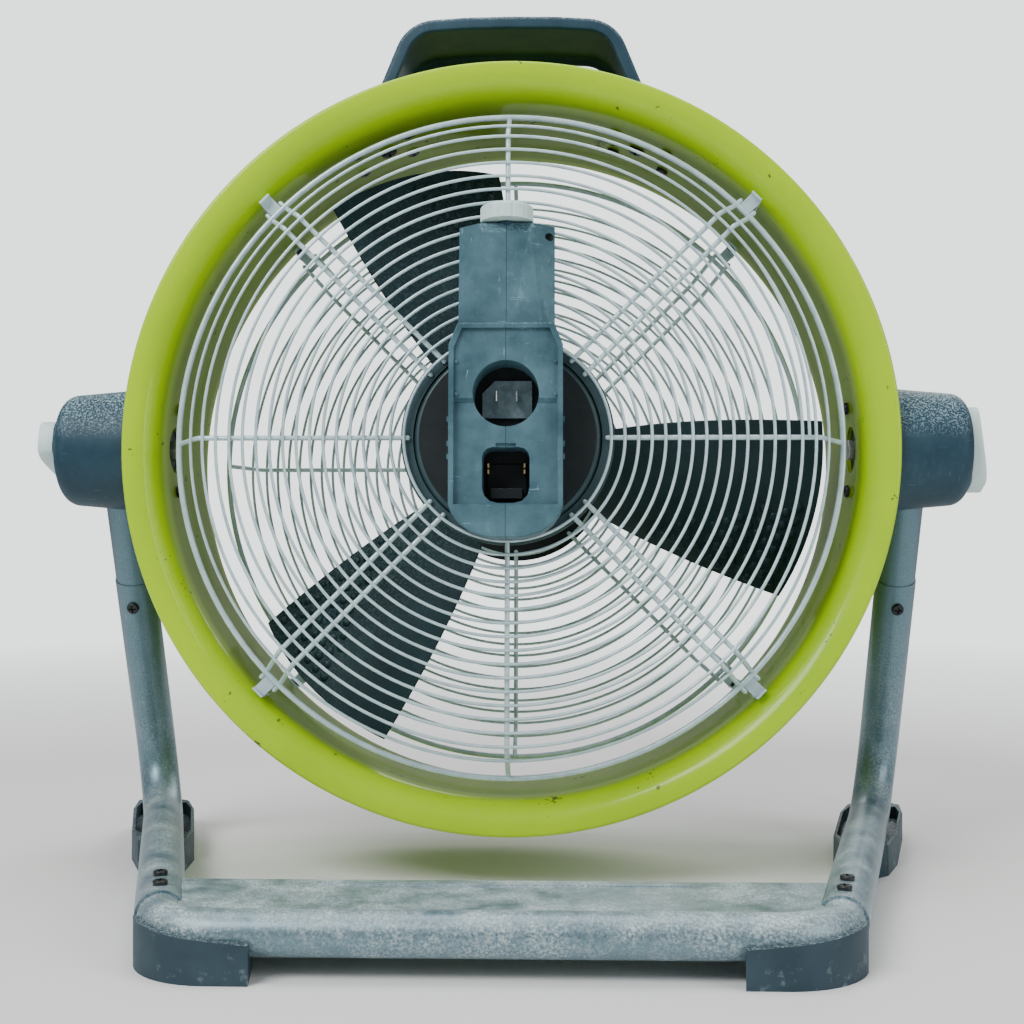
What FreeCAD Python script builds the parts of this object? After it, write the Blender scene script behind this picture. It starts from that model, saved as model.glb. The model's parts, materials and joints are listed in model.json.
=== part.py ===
import FreeCAD, Part
import math
import os
import Sketcher
from FreeCAD import Placement, Rotation, Vector

# Axial air mover: an 18-inch drum fan on a bent tube stand.
# Millimetres, +X right, +Y the way the air goes, +Z up, floor at z = 0.
# Head pieces are drawn about the tilt pivot with the fan axis on Y, then placed.
# Stand pieces are drawn with y = 0 under the pivot and z = 0 on the floor.

doc = FreeCAD.newDocument("air_mover")

DRIVING = {
    "pivot_y": 51.56, "pivot_z": 285.0, "rest_tilt": 4.0,
    # drum
    "drum_bore": 230.0, "drum_wall": 2.5, "lip_out": 253.6, "lip_near": -49.0, "lip_far": 113.0,
    "lip_return": 6.0, "flare": 20.0, "pivot_window": 15.6,
    # wire guards
    "wire": 1.05, "spoke": 1.6, "rim_wire": 1.9, "ring_first": 65.6, "ring_pitch": 8.57, "ring_count": 16,
    "clip_in": 22.0, "near_face": -74.0, "far_face": 140.0, "rim_ring": 216.7, "rim_back": 31.0,
    "shoulder_ring": 203.4, "twin_gap": 12.0, "spoke_end": 223.0, "hub_plate": 70.0,
    # motor and impeller
    "motor_out": 60.0, "motor_wall": 3.0, "motor_near": -70.0, "motor_far": 2.0, "cap_far": 7.0,
    "shaft_radius": 5.0, "shaft_near": -62.0, "shaft_far": 66.0,
    "hub_out": 56.0, "hub_near": 13.0, "hub_far": 58.0, "tip_radius": 216.0,
    "blade_lead": 24.0, "blade_trail": 86.0, "blade_thick": 2.6,
    # control housing
    "dock_near": -110.0, "dock_far": -75.6, "dock_half": 35.0, "dock_top": 66.3, "dock_low": -65.1,
    "tower_near": -101.0, "tower_half": 30.0, "tower_top": 131.0, "shell_wall": 2.8, "seam": 0.12,
    "facet_top": 14.0, "facet_low": 22.5, "facet_back": 14.0, "brow": 6.5,
    "rim_width": 3.2, "rim_depth": 2.2, "panel_low": -45.1, "step_z": 17.6, "step_deep": 2.8,
    "inlet_z": 23.3, "inlet_radius": 20.3, "well_far": -79.0,
    "socket_z": -26.75, "socket_half": 14.6, "socket_tall": 34.3,
    "knob_radius": 16.6, "knob_low": 132.8, "knob_high": 142.6, "knob_y": -92.2, "pot_radius": 4.7,
    "collar_radius": 6.6,
    # handle
    "grip_near": -20.0, "grip_far": 50.0, "foot_thick": 4.5, "shoulder_out": 30.0, "shoulder_in": 18.0,
    # pivots
    "pivot_disc": 30.0, "disc_out": 240.0, "housing_in": 243.0, "housing_out": 305.0,
    "housing_big": 42.4, "housing_small": 37.0, "housing_wall": 3.2, "bolt_radius": 4.0, "bolt_hole": 4.4,
    "tilt_knob_out": 315.5, "tilt_knob_half": 29.2, "tilt_knob_side": 14.2,
    # stand
    "leg_x": 268.8, "leg_radius": 14.0, "leg_upper": 13.3, "leg_bore": 12.5, "leg_lean": 24.0,
    "leg_above": 13.0,
    "joint_down": 97.0, "joint_overlap": 40.0, "bend_y": 117.0, "rail_z": 23.0, "bend_radius": 45.0,
    "rail_toe": 14.4, "sleeve_end": -210.0, "front_y": -240.0, "front_radius": 12.4, "front_bore": 11.0,
    "front_bend": 38.0, "deck_back": -158.0, "deck_top": 31.0, "deck_thick": 2.0,
    "shoe_high": 27.6, "shoe_low": 20.0, "pad_high": 21.0,
    # fasteners
    "pan_radius": 4.2, "pan_high": 2.4, "screw_radius": 2.0, "hole_radius": 2.1,
}


class Size:
    # A number that remembers the spreadsheet expression it came from.
    def __init__(self, value, text):
        self.value = value
        self.text = text

    def __float__(self):
        return float(self.value)

    def joined(self, other, sign, turned=False):
        first, second = (other, self) if turned else (self, other)
        a, b = float(first), float(second)
        value = {"+": a + b, "-": a - b, "*": a * b, "/": a / b if b else 0.0}[sign]
        return Size(value, "(%s %s %s)" % (wording(first), sign, wording(second)))

    def __add__(self, other):
        return self.joined(other, "+")

    def __radd__(self, other):
        return self.joined(other, "+", True)

    def __sub__(self, other):
        return self.joined(other, "-")

    def __rsub__(self, other):
        return self.joined(other, "-", True)

    def __mul__(self, other):
        return self.joined(other, "*")

    def __rmul__(self, other):
        return self.joined(other, "*", True)

    def __truediv__(self, other):
        return self.joined(other, "/")

    def __neg__(self):
        return self.joined(-1, "*")


def wording(size):
    return size.text if isinstance(size, Size) else repr(float(size))


def makeSheet():
    sheet = doc.addObject("Spreadsheet::Sheet", "Sizes")
    for row, (name, value) in enumerate(DRIVING.items(), start=1):
        sheet.set("A%d" % row, name)
        sheet.set("B%d" % row, str(value))
        sheet.setAlias("B%d" % row, name)
    doc.recompute()


class Dimensions:
    pass


makeSheet()
d = Dimensions()
for name, value in DRIVING.items():
    setattr(d, name, Size(value, "Sizes." + name))


def bind(item, prop, size):
    if isinstance(size, Size):
        item.setExpression(prop, size.text)
    else:
        setattr(item, prop, size)


def onHead(item):
    item.Placement = Placement(Vector(0, 0, 0), Rotation(Vector(1, 0, 0), -float(d.rest_tilt)))
    item.setExpression("Placement.Base.y", d.pivot_y.text)
    item.setExpression("Placement.Base.z", d.pivot_z.text)
    return item


def onStand(item):
    item.setExpression("Placement.Base.y", d.pivot_y.text)
    return item


def makeBody(label, place):
    body = doc.addObject("PartDesign::Body", label)
    body.Label = label
    return place(body)


def makeSketch(body, plane, height=0.0):
    sketch = body.newObject("Sketcher::SketchObject", body.Name + "_sketch")
    origin = [f for f in body.Origin.OriginFeatures if f.Role == plane][0]
    sketch.AttachmentSupport = [(origin, "")]
    sketch.MapMode = "FlatFace"
    if isinstance(height, Size):
        sketch.setExpression("AttachmentOffset.Base.z", height.text)
    else:
        sketch.AttachmentOffset = Placement(Vector(0, 0, height), Rotation())
    return sketch


def pin(sketch, item, point, x, y):
    # Holds one point of a sketch at x, y from the sketch's origin.
    for kind, axis, size in (("DistanceX", -2, x), ("DistanceY", -1, y)):
        if abs(float(size)) < 1e-9:
            sketch.addConstraint(Sketcher.Constraint("PointOnObject", item, point, axis))
            continue
        index = sketch.addConstraint(Sketcher.Constraint(kind, -1, 1, item, point, float(size)))
        if isinstance(size, Size):
            sketch.setExpression("Constraints[%d]" % index, size.text)


def drawPolygon(sketch, corners):
    spots = [Vector(float(x), float(y), 0) for x, y in corners]
    first = sketch.GeometryCount
    count = len(spots)
    lines = [Part.LineSegment(spots[i], spots[(i + 1) % count]) for i in range(count)]
    sketch.addGeometry(lines, False)
    for i in range(count):
        after = first + (i + 1) % count
        sketch.addConstraint(Sketcher.Constraint("Coincident", first + i, 2, after, 1))
    for i, (x, y) in enumerate(corners):
        pin(sketch, first + i, 1, x, y)


def drawCircle(sketch, x, y, radius):
    circle = Part.Circle(Vector(float(x), float(y), 0), Vector(0, 0, 1), float(radius))
    item = sketch.addGeometry(circle, False)
    pin(sketch, item, 3, x, y)
    index = sketch.addConstraint(Sketcher.Constraint("Radius", item, float(radius)))
    if isinstance(radius, Size):
        sketch.setExpression("Constraints[%d]" % index, radius.text)


def revolve(body, corners, axis="V_Axis", plane="XY_Plane", height=0.0):
    sketch = makeSketch(body, plane, height)
    drawPolygon(sketch, corners)
    turned = body.newObject("PartDesign::Revolution", body.Name + "_turned")
    turned.Profile = sketch
    turned.ReferenceAxis = (sketch, [axis])
    turned.Angle = 360
    doc.recompute()
    return turned


def span(body, plane, low, high):
    # A sketch placed so that a pad along its normal fills from low to high.
    return makeSketch(body, plane, -high if plane == "XZ_Plane" else low)


def pad(body, plane, low, high, draw):
    sketch = span(body, plane, low, high)
    draw(sketch)
    solid = body.newObject("PartDesign::Pad", body.Name + "_pad")
    solid.Profile = sketch
    bind(solid, "Length", high - low)
    doc.recompute()
    return solid


def pocket(body, plane, low, high, draw):
    before = body.Shape.Volume
    sketch = span(body, plane, low, high)
    draw(sketch)
    cutter = body.newObject("PartDesign::Pocket", body.Name + "_pocket")
    cutter.Profile = sketch
    cutter.Reversed = True
    bind(cutter, "Length", high - low)
    doc.recompute()
    if body.Shape.Volume > before - 0.5:
        raise RuntimeError("nothing was cut from " + body.Label)
    return cutter


def polygon(*corners):
    return lambda sketch: drawPolygon(sketch, corners)


def circle(x, y, radius):
    return lambda sketch: drawCircle(sketch, x, y, radius)


def fillet(body, feature, radius, wanted):
    # Rounds the edges of a feature for which wanted(edge) holds.
    names = ["Edge%d" % (i + 1) for i, edge in enumerate(feature.Shape.Edges) if wanted(edge)]
    if not names:
        raise RuntimeError("no edge to round on " + body.Label)
    rounded = body.newObject("PartDesign::Fillet", body.Name + "_round")
    rounded.Base = (feature, names)
    bind(rounded, "Radius", radius)
    doc.recompute()
    return rounded


def ringAt(axis, *spots):
    # Picks full circular edges of the given radius and place along an axis (0 x, 1 y, 2 z).
    def wanted(edge):
        if edge.Curve.TypeId != "Part::GeomCircle":
            return False
        centre, radius = edge.Curve.Center, edge.Curve.Radius
        full = edge.LastParameter - edge.FirstParameter > 6
        return full and any(abs(radius - float(r)) < 0.01 and abs(centre[axis] - float(a)) < 0.01
                            for r, a in spots)
    return wanted


def cornerAt(first, second, *spots):
    # Picks straight edges that run square to the two axes given, at each spot on them.
    def wanted(edge):
        ends = [v.Point for v in edge.Vertexes]
        if len(ends) != 2 or edge.Curve.TypeId != "Part::GeomLine":
            return False
        return any(all(abs(p[first] - float(a)) < 0.01 and abs(p[second] - float(b)) < 0.01 for p in ends)
                   for a, b in spots)
    return wanted


def feature(label, shape, place=None):
    item = doc.addObject("Part::Feature", label)
    item.Label = label
    item.Shape = shape
    if place:
        place(item)
    return item


def boolean(kind, label, base, tool):
    item = doc.addObject("Part::" + kind, label)
    item.Label = label
    item.Base = base
    item.Tool = tool
    return item


def mirrored(label, source):
    item = doc.addObject("Part::Mirroring", label)
    item.Label = label
    item.Source = source
    item.Normal = Vector(1, 0, 0)
    item.Base = Vector(0, 0, 0)
    return item


def num(size):
    return float(size)


def bentPath(points, radius):
    # Straight runs joined by tangent arcs.
    edges = []
    start = points[0]
    for before, corner, after in zip(points, points[1:], points[2:]):
        back = (before - corner).normalize()
        on = (after - corner).normalize()
        half = back.getAngle(on) / 2
        reach = radius / math.tan(half)
        first = corner + back * reach
        last = corner + on * reach
        middle = (back + on).normalize()
        centre = corner + middle * (radius / math.sin(half))
        edges.append(Part.LineSegment(start, first).toShape())
        edges.append(Part.Arc(first, centre - middle * radius, last).toShape())
        start = last
    edges.append(Part.LineSegment(start, points[-1]).toShape())
    return Part.Wire(edges)


def rod(points, bend, radius):
    path = bentPath(points, bend)
    way = points[1] - points[0]
    section = Part.Wire(Part.Circle(points[0], way, radius).toShape())
    return path.makePipeShell([section], True, False)


def drill(label, spots, radius, length, place):
    # Round cutters that start at each point and run along each direction.
    cutters = [Part.makeCylinder(num(radius), length, point, way) for point, way in spots]
    return feature(label, Part.Compound(cutters), place)


def screwShape(head, high, shank, length):
    # A pan-head screw with a cross recess: head above z = 0, shank below.
    top = Part.makeCylinder(head, high)
    rim = [e for e in top.Edges if e.Curve.TypeId == "Part::GeomCircle" and e.Curve.Center.z > high / 2]
    top = top.makeFillet(high * 0.45, rim)
    body = top.fuse(Part.makeCylinder(shank, length, Vector(0, 0, -length)))
    for wide, deep in ((head * 0.3, head * 1.2), (head * 1.2, head * 0.3)):
        slot = Part.makeBox(wide, deep, high, Vector(-wide / 2, -deep / 2, high * 0.35))
        body = body.cut(slot)
    return body


def screws(label, spots, place, length, head=None, high=None, shank=None):
    # One group of equal screws; each spot is the seat point and the way the head faces.
    master = screwShape(head or num(d.pan_radius), high or num(d.pan_high),
                        shank or num(d.screw_radius), length)
    copies = []
    for point, way in spots:
        copy = master.copy()
        copy.Placement = Placement(point, Rotation(Vector(0, 0, 1), way))
        copies.append(copy)
    return feature(label, Part.Compound(copies), place)


def polar(radius, angle, y=0.0):
    turn = math.radians(angle)
    return Vector(radius * math.cos(turn), y, radius * math.sin(turn))


def opposite(spots):
    return spots + [(Vector(-p.x, p.y, p.z), Vector(-w.x, w.y, w.z)) for p, w in spots]


def inward(spots, back):
    # The same spots, moved back along the way each head faces, looking the other way.
    return [(p + w * back, w * -1) for p, w in spots]


# ---- drum, handle and tilt pivots -------------------------------------------------

HANDLE_ANGLES = (62.5, 71.9)
HEX_ANGLE = 67.8


def handleSpots(angles, y):
    wall = num(d.drum_bore) - 0.06
    return opposite([(polar(wall, a, y), polar(-1, a)) for a in angles])


def pivotSpots():
    reach = math.sqrt(num(d.drum_bore) ** 2 - (28.0 + num(d.pan_radius) + 0.2) ** 2)
    return opposite([(Vector(reach, 0, side * 28.0), Vector(-1, 0, 0)) for side in (-1, 1)])


CLIP_ANGLES = (45, 135, 225, 315)


def clipSpots(y):
    return [(polar(num(d.drum_bore) - 1.6, a, y), polar(-1, a)) for a in CLIP_ANGLES]


def makeDrum():
    body = makeBody("drum_blank", onHead)
    bore, wall, out = d.drum_bore, d.drum_wall, d.lip_out
    near, far, back = d.lip_near, d.lip_far, d.lip_return
    turned = revolve(body, [
        (bore, near), (out, near), (out, near + back), (out - wall, near + back),
        (out - wall, near + wall), (bore + wall, near + wall), (bore + wall, far - wall),
        (out - wall, far - wall), (out - wall, far - back), (out, far - back), (out, far), (bore, far)])
    throat = fillet(body, turned, d.flare, ringAt(1, (bore, near), (bore, far)))
    outside = fillet(body, throat, d.flare - d.drum_wall - 0.8,
                     ringAt(1, (bore + wall, near + wall), (bore + wall, far - wall)))
    fillet(body, outside, d.drum_wall - 0.1, ringAt(1, (out, near), (out, far)))
    for side in (-1, 1):
        pocket(body, "YZ_Plane", d.drum_bore * side - 6, d.drum_bore * side + 6,
               circle(0, 0, d.pivot_window))
    spots = pivotSpots() + clipSpots(num(d.lip_near + d.clip_in)) + clipSpots(num(d.lip_far - d.clip_in))
    for y in (num(d.grip_near) + 15, num(d.grip_far) - 15):
        spots = spots + handleSpots(HANDLE_ANGLES, y)
    spots = spots + handleSpots((HEX_ANGLE,), 15.0)
    tools = drill("drum_holes", [(p + w * 3, w * -1) for p, w in spots], d.hole_radius, 9, onHead)
    return boolean("Cut", "drum_shell", body, tools)


def makeHandle():
    body = makeBody("handle_blank", onHead)
    outer = [(-108, 207), (-101, 222), (-89, 250), (-74, 283), (-58, 293), (0, 296.6),
             (58, 293), (74, 283), (89, 250), (101, 222), (108, 207)]
    inner = [(88, 216), (73, 254), (63.5, 281.5), (50, 284.8), (0, 287.6),
             (-50, 284.8), (-63.5, 281.5), (-73, 254), (-88, 216)]
    solid = pad(body, "XZ_Plane", d.grip_near, d.grip_far, polygon(*(outer + inner)))
    rounded = fillet(body, solid, d.shoulder_out,
                     cornerAt(0, 2, (74, 283), (-74, 283), (58, 293), (-58, 293)))
    corners = fillet(body, rounded, d.shoulder_in, cornerAt(0, 2, (63.5, 281.5), (-63.5, 281.5)))
    edges = fillet(body, corners, 3.0,
                   lambda e: e.BoundBox.ZMin > 255 and abs(e.BoundBox.YMin - num(d.grip_near)) < 0.01
                   and e.BoundBox.YLength < 0.01)
    fillet(body, edges, 2.0,
           lambda e: e.BoundBox.ZMin > 255 and abs(e.BoundBox.YMax - num(d.grip_far)) < 0.01
           and e.BoundBox.YLength < 0.01)
    saddle = feature("handle_saddle", Part.makeCylinder(num(d.drum_bore + d.drum_wall), 300,
                     Vector(0, -150, 0), Vector(0, 1, 0)), onHead)
    arch = boolean("Cut", "handle_arch", body, saddle)
    low, high = num(d.drum_bore + d.drum_wall), num(d.drum_bore + d.drum_wall + d.foot_thick)
    deep = num(d.grip_far - d.grip_near)
    feet = None
    for start in (58.5, 106.5):
        plate = Part.makeCylinder(high, deep, Vector(0, num(d.grip_near), 0), Vector(0, 1, 0))
        plate = plate.cut(Part.makeCylinder(low, deep, Vector(0, num(d.grip_near), 0), Vector(0, 1, 0)))
        wedge = Part.Face(Part.makePolygon([Vector(0, 0, 0), polar(400, start), polar(400, start + 15),
                                            Vector(0, 0, 0)])).extrude(Vector(0, 300, 0))
        wedge.translate(Vector(0, -150, 0))
        plate = plate.common(wedge)
        feet = feet.fuse(plate) if feet else plate
    whole = boolean("Fuse", "handle_whole", arch, feature("handle_feet", feet, onHead))
    spots = []
    for y in (num(d.grip_near) + 15, num(d.grip_far) - 15):
        spots = spots + handleSpots(HANDLE_ANGLES, y)
    spots = spots + handleSpots((HEX_ANGLE,), 15.0)
    tools = drill("handle_holes", [(p + w * 3, w * -1) for p, w in spots], d.hole_radius, 9.5, onHead)
    boolean("Cut", "handle", whole, tools)
    small = []
    for y in (num(d.grip_near) + 15, num(d.grip_far) - 15):
        small = small + handleSpots(HANDLE_ANGLES, y)
    screws("handle_screws", small, onHead, 5.8)
    screws("handle_bolts", handleSpots((HEX_ANGLE,), 15.0), onHead, 5.8, head=5.6, high=3.2)


def makePivotDisc():
    body = makeBody("pivot_disc_blank", onHead)
    disc = revolve(body, [(d.drum_bore - 6, 0), (d.disc_out, 0), (d.disc_out, d.pivot_disc),
                          (d.drum_bore - 6, d.pivot_disc)], axis="H_Axis")
    fillet(body, disc, 1.5, ringAt(0, (d.pivot_disc, d.disc_out)))
    drumOut = feature("pivot_disc_saddle", Part.makeCylinder(num(d.drum_bore + d.drum_wall), 100,
                      Vector(0, -50, 0), Vector(0, 1, 0)), onHead)
    seated = boolean("Cut", "pivot_disc_seat", body, drumOut)
    spots = [(Vector(num(d.drum_bore) - 8, 0, 0), Vector(1, 0, 0))]
    bore = drill("pivot_disc_bore", spots, d.bolt_radius, 30, onHead)
    bored = boolean("Cut", "pivot_disc_bored", seated, bore)
    threads = drill("pivot_disc_threads", [(p + w * 3, w * -1) for p, w in pivotSpots()[:2]],
                    d.hole_radius, 12, onHead)
    right = boolean("Cut", "pivot_disc_right", bored, threads)
    mirrored("pivot_disc_left", right)


def makePivotBolt():
    body = makeBody("pivot_bolt_right", onHead)
    seat = d.drum_bore + d.drum_wall
    side = num(d.bolt_radius) * 1.63
    hexagon = [(side * math.cos(math.radians(60 * i)) / math.cos(math.radians(30)),
                side * math.sin(math.radians(60 * i)) / math.cos(math.radians(30))) for i in range(6)]
    pad(body, "YZ_Plane", seat - 5.2, seat, polygon(*hexagon))
    pad(body, "YZ_Plane", seat - 0.5, d.tilt_knob_out - 4, circle(0, 0, d.bolt_radius))
    mirrored("pivot_bolt_left", body)


def makeWasher():
    body = makeBody("friction_washer_right", onStand)
    body.setExpression("Placement.Base.z", d.pivot_z.text)
    low, high = d.disc_out + 0.3, d.housing_in - 0.3
    revolve(body, [(low, d.bolt_hole), (high, d.bolt_hole), (high, d.pivot_disc - 2),
                   (low, d.pivot_disc - 2)], axis="H_Axis")
    mirrored("friction_washer_left", body)


def legLine(x, along):
    # A point on the leg's centre line, the given distance down from the pivot.
    lean = math.radians(num(d.leg_lean))
    return Vector(x, along * math.sin(lean), num(d.pivot_z) - along * math.cos(lean))


def makeHousing():
    body = makeBody("pivot_housing_blank", onStand)
    body.setExpression("Placement.Base.z", d.pivot_z.text)
    low, high, wall = d.housing_in, d.housing_out, d.housing_wall
    turned = revolve(body, [
        (low, d.housing_big), (high, d.housing_small), (high, 9.0), (high - wall, 9.0),
        (high - wall, d.housing_small - wall), (low + wall, d.housing_big - wall),
        (low + wall, 12.0), (low, 12.0)], axis="H_Axis")
    outer = fillet(body, turned, 11.0, ringAt(0, (d.housing_small, high)))
    inner = fillet(body, outer, 8.0, ringAt(0, (d.housing_small - wall, high - wall)))
    fillet(body, inner, 1.5, ringAt(0, (d.housing_big, low)))
    hole = Part.makeCylinder(num(d.leg_upper) + 0.05, 120, legLine(num(d.leg_x), -16),
                             legLine(0, 1) - legLine(0, 0))
    tool = feature("pivot_housing_leg_hole", hole, onStand)
    right = boolean("Cut", "pivot_housing_right", body, tool)
    mirrored("pivot_housing_left", right)


def makeTiltKnob(label, side, turn):
    body = makeBody(label if side > 0 else label + "_source", onHead)
    long, short, out = num(d.tilt_knob_half), num(d.tilt_knob_side), d.tilt_knob_out
    flat = d.housing_out + 0.4

    # A squared-off oval, from the power 0.5 of the cosine and the sine.
    corners = []
    for i in range(20):
        across, up = math.cos(math.radians(18 * i + 9)), math.sin(math.radians(18 * i + 9))
        corners.append((long * math.copysign(abs(across) ** 0.5, across),
                        short * math.copysign(abs(up) ** 0.5, up)))
    over, along = math.sin(math.radians(turn)), math.cos(math.radians(turn))
    wing = [(u * along - v * over, u * over + v * along) for u, v in corners]
    grip = pad(body, "YZ_Plane", flat, out, polygon(*wing))
    fillet(body, grip, 1.2, lambda e: abs(e.BoundBox.XMin - num(out)) < 0.01
           and e.BoundBox.XLength < 0.01)
    pad(body, "YZ_Plane", d.housing_out - 6, flat, circle(0, 0, 8.0))
    pocket(body, "YZ_Plane", d.housing_out - 6, out - 3.9, circle(0, 0, d.bolt_radius + 0.05))
    if side < 0:
        mirrored(label, body)


# ---- wire guards, clips, motor and impeller ---------------------------------------

WIRE_SIDES = 8      # a ring's wire is eight-sided, which keeps the guard light to mesh
RING_SEAM = 33.5    # degrees; the rings' seams stay clear of the spokes


def guardShape():
    # The near guard: rings on the outer side, spokes behind them, all welded into one piece.
    wire, spoke, face = num(d.wire), num(d.spoke), num(d.near_face)
    back = face + num(d.rim_back)
    hoops = [(num(d.ring_first) + i * num(d.ring_pitch), wire, face) for i in range(int(num(d.ring_count)))]
    hoops += [(num(d.shoulder_ring), wire, face + 8.0), (num(d.rim_ring), num(d.rim_wire), back)]
    rings = []
    for radius, thick, y in hoops:
        corner = thick / math.cos(math.pi / WIRE_SIDES)
        turns = [2 * math.pi * (k + 0.5) / WIRE_SIDES for k in range(WIRE_SIDES)]
        section = [Vector(radius + corner * math.cos(t), y + corner * math.sin(t), 0) for t in turns]
        outline = Part.Face(Part.makePolygon(section + section[:1]))
        ring = outline.revolve(Vector(0, 0, 0), Vector(0, 1, 0), 360)
        ring.rotate(Vector(0, 0, 0), Vector(0, 1, 0), RING_SEAM)
        rings.append(ring)
    inner = face + wire + spoke - 0.25
    first, last = num(d.ring_first) - 4.0, num(d.spoke_end)
    bend = num(d.shoulder_ring) - 6.0
    end = back + num(d.rim_wire) + spoke - 0.3
    spokes = []
    for angle in (0, 90, 180, 270):
        path = [polar(first, angle, inner), polar(bend, angle, inner), polar(num(d.rim_ring), angle, end)]
        spokes.append(rod(path, 5.0, spoke))
    for angle in CLIP_ANGLES:
        for side in (-1, 1):
            shift = polar(side * num(d.twin_gap) / 2, angle + 90)
            path = [polar(first, angle, inner) + shift, polar(bend, angle, inner) + shift,
                    polar(num(d.rim_ring), angle, end) + shift, polar(last, angle, end) + shift]
            spokes.append(rod(path, 3.0, spoke))
    return rings[0].multiFuse(rings[1:] + spokes)


def makeGuards():
    near = guardShape()
    far = near.copy()
    far.rotate(Vector(0, 0, 0), Vector(0, 0, 1), 180)
    far.translate(Vector(0, num(d.far_face) + num(d.near_face), 0))
    feature("intake_guard", near, onHead)
    feature("outlet_guard", Part.Compound([far]), onHead)
    disc = makeBody("outlet_centre_disc", onHead)
    low = d.far_face + d.wire + 0.05
    turned = revolve(disc, [(0, low), (d.hub_plate, low), (d.hub_plate, low + 4), (0, low + 5.5)])
    fillet(disc, turned, 1.5, ringAt(1, (d.hub_plate, low + 4)))


def makeClips():
    near = num(d.near_face) + num(d.rim_back)
    far = num(d.far_face) - num(d.rim_back)
    clips = []
    for rim, hole, way in ((near, num(d.lip_near + d.clip_in), 1), (far, num(d.lip_far - d.clip_in), -1)):
        for angle in CLIP_ANGLES:
            seat = num(d.drum_bore) - 1.6
            low, high = sorted((rim - way * 3.9, hole + way * 6.0))
            pad1 = Part.makeBox(1.5, high - low, 8.4, Vector(seat + 0.05, low, -4.2))
            reach = seat - (num(d.rim_ring) + num(d.rim_wire) + 0.2)
            arm = Part.makeBox(reach + 1.0, 3.4, 8.4,
                               Vector(seat - reach, min(rim, rim + way * 3.4) + way * 2.2, -4.2))
            clip = pad1.fuse(arm)
            clip = clip.cut(Part.makeCylinder(num(d.hole_radius), 20, Vector(seat - 8, hole, 0),
                                              Vector(1, 0, 0)))
            clip.rotate(Vector(0, 0, 0), Vector(0, 1, 0), -angle)
            clips.append(clip)
    feature("guard_clips", Part.Compound(clips), onHead)
    spots = clipSpots(num(d.lip_near + d.clip_in)) + clipSpots(num(d.lip_far - d.clip_in))
    screws("guard_screws", spots, onHead, 6.0, head=3.6, high=2.2)


def makeMotor():
    out, wall, near, far = d.motor_out, d.motor_wall, d.motor_near, d.motor_far
    can = makeBody("motor_can", onHead)
    turned = revolve(can, [
        (11.0, near), (out, near), (out, far), (out - wall, far), (out - wall, near + wall),
        (14.0, near + wall), (14.0, near + wall + 9), (11.0, near + wall + 9)])
    fillet(can, turned, 4.0, ringAt(1, (out, near)))
    groove = makeSketch(can, "XY_Plane")
    drawPolygon(groove, [(out - 0.8, near + 10), (out + 1, near + 10), (out + 1, near + 12),
                         (out - 0.8, near + 12)])
    cutter = can.newObject("PartDesign::Groove", "motor_can_groove")
    cutter.Profile = groove
    cutter.ReferenceAxis = (groove, ["V_Axis"])
    doc.recompute()
    cap = makeBody("motor_end_cap", onHead)
    turned = revolve(cap, [
        (d.shaft_radius + 1, far + 2), (11.0, far + 2), (11.0, far - 5), (14.0, far - 5), (14.0, far),
        (out, far), (out, d.cap_far), (d.shaft_radius + 1, d.cap_far)])
    fillet(cap, turned, 3.0, ringAt(1, (out, d.cap_far)))
    plug = makeBody("motor_front_plate", onHead)
    revolve(plug, [(0, d.dock_far + 0.1), (d.motor_out - 4, d.dock_far + 0.1), (d.motor_out - 4, near),
                   (0, near)])
    bearings = []
    for place in (num(near) + 5, num(far) - 5):
        race = Part.makeCylinder(11.0, 7, Vector(0, place, 0), Vector(0, 1, 0))
        bore = Part.makeCylinder(num(d.shaft_radius) + 0.03, 7, Vector(0, place, 0), Vector(0, 1, 0))
        bearings.append(race.cut(bore))
    feature("motor_bearings", Part.Compound(bearings), onHead)
    stator = makeBody("motor_stator", onHead)
    revolve(stator, [(21.0, near + 24), (out - wall, near + 24), (out - wall, far - 14), (21.0, far - 14)])
    slots = Part.Compound([Part.makeCylinder(6.0, 60, polar(36, 30 * i + 15, num(near) + 20),
                                             Vector(0, 1, 0))
                           for i in range(12)])
    stator.Label = "motor_stator_blank"
    boolean("Cut", "motor_stator", stator, feature("stator_slots", slots, onHead))
    coils = [Part.makeCylinder(5.6, 46, polar(36, 30 * i + 15, num(near) + 18), Vector(0, 1, 0))
             for i in range(12)]
    feature("stator_coils", Part.Compound(coils), onHead)
    ring = makeBody("motor_mount_ring", onHead)
    face = d.near_face + d.wire + 2 * d.spoke - 0.1
    turned = revolve(ring, [(out + 0.05, face), (out + 8, face), (out + 8, face + 4), (out + 2.5, face + 4),
                            (out + 2.5, face + 12), (out + 0.05, face + 12)])
    fillet(ring, turned, 1.0, ringAt(1, (out + 8, face), (out + 8, face + 4)))


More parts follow.
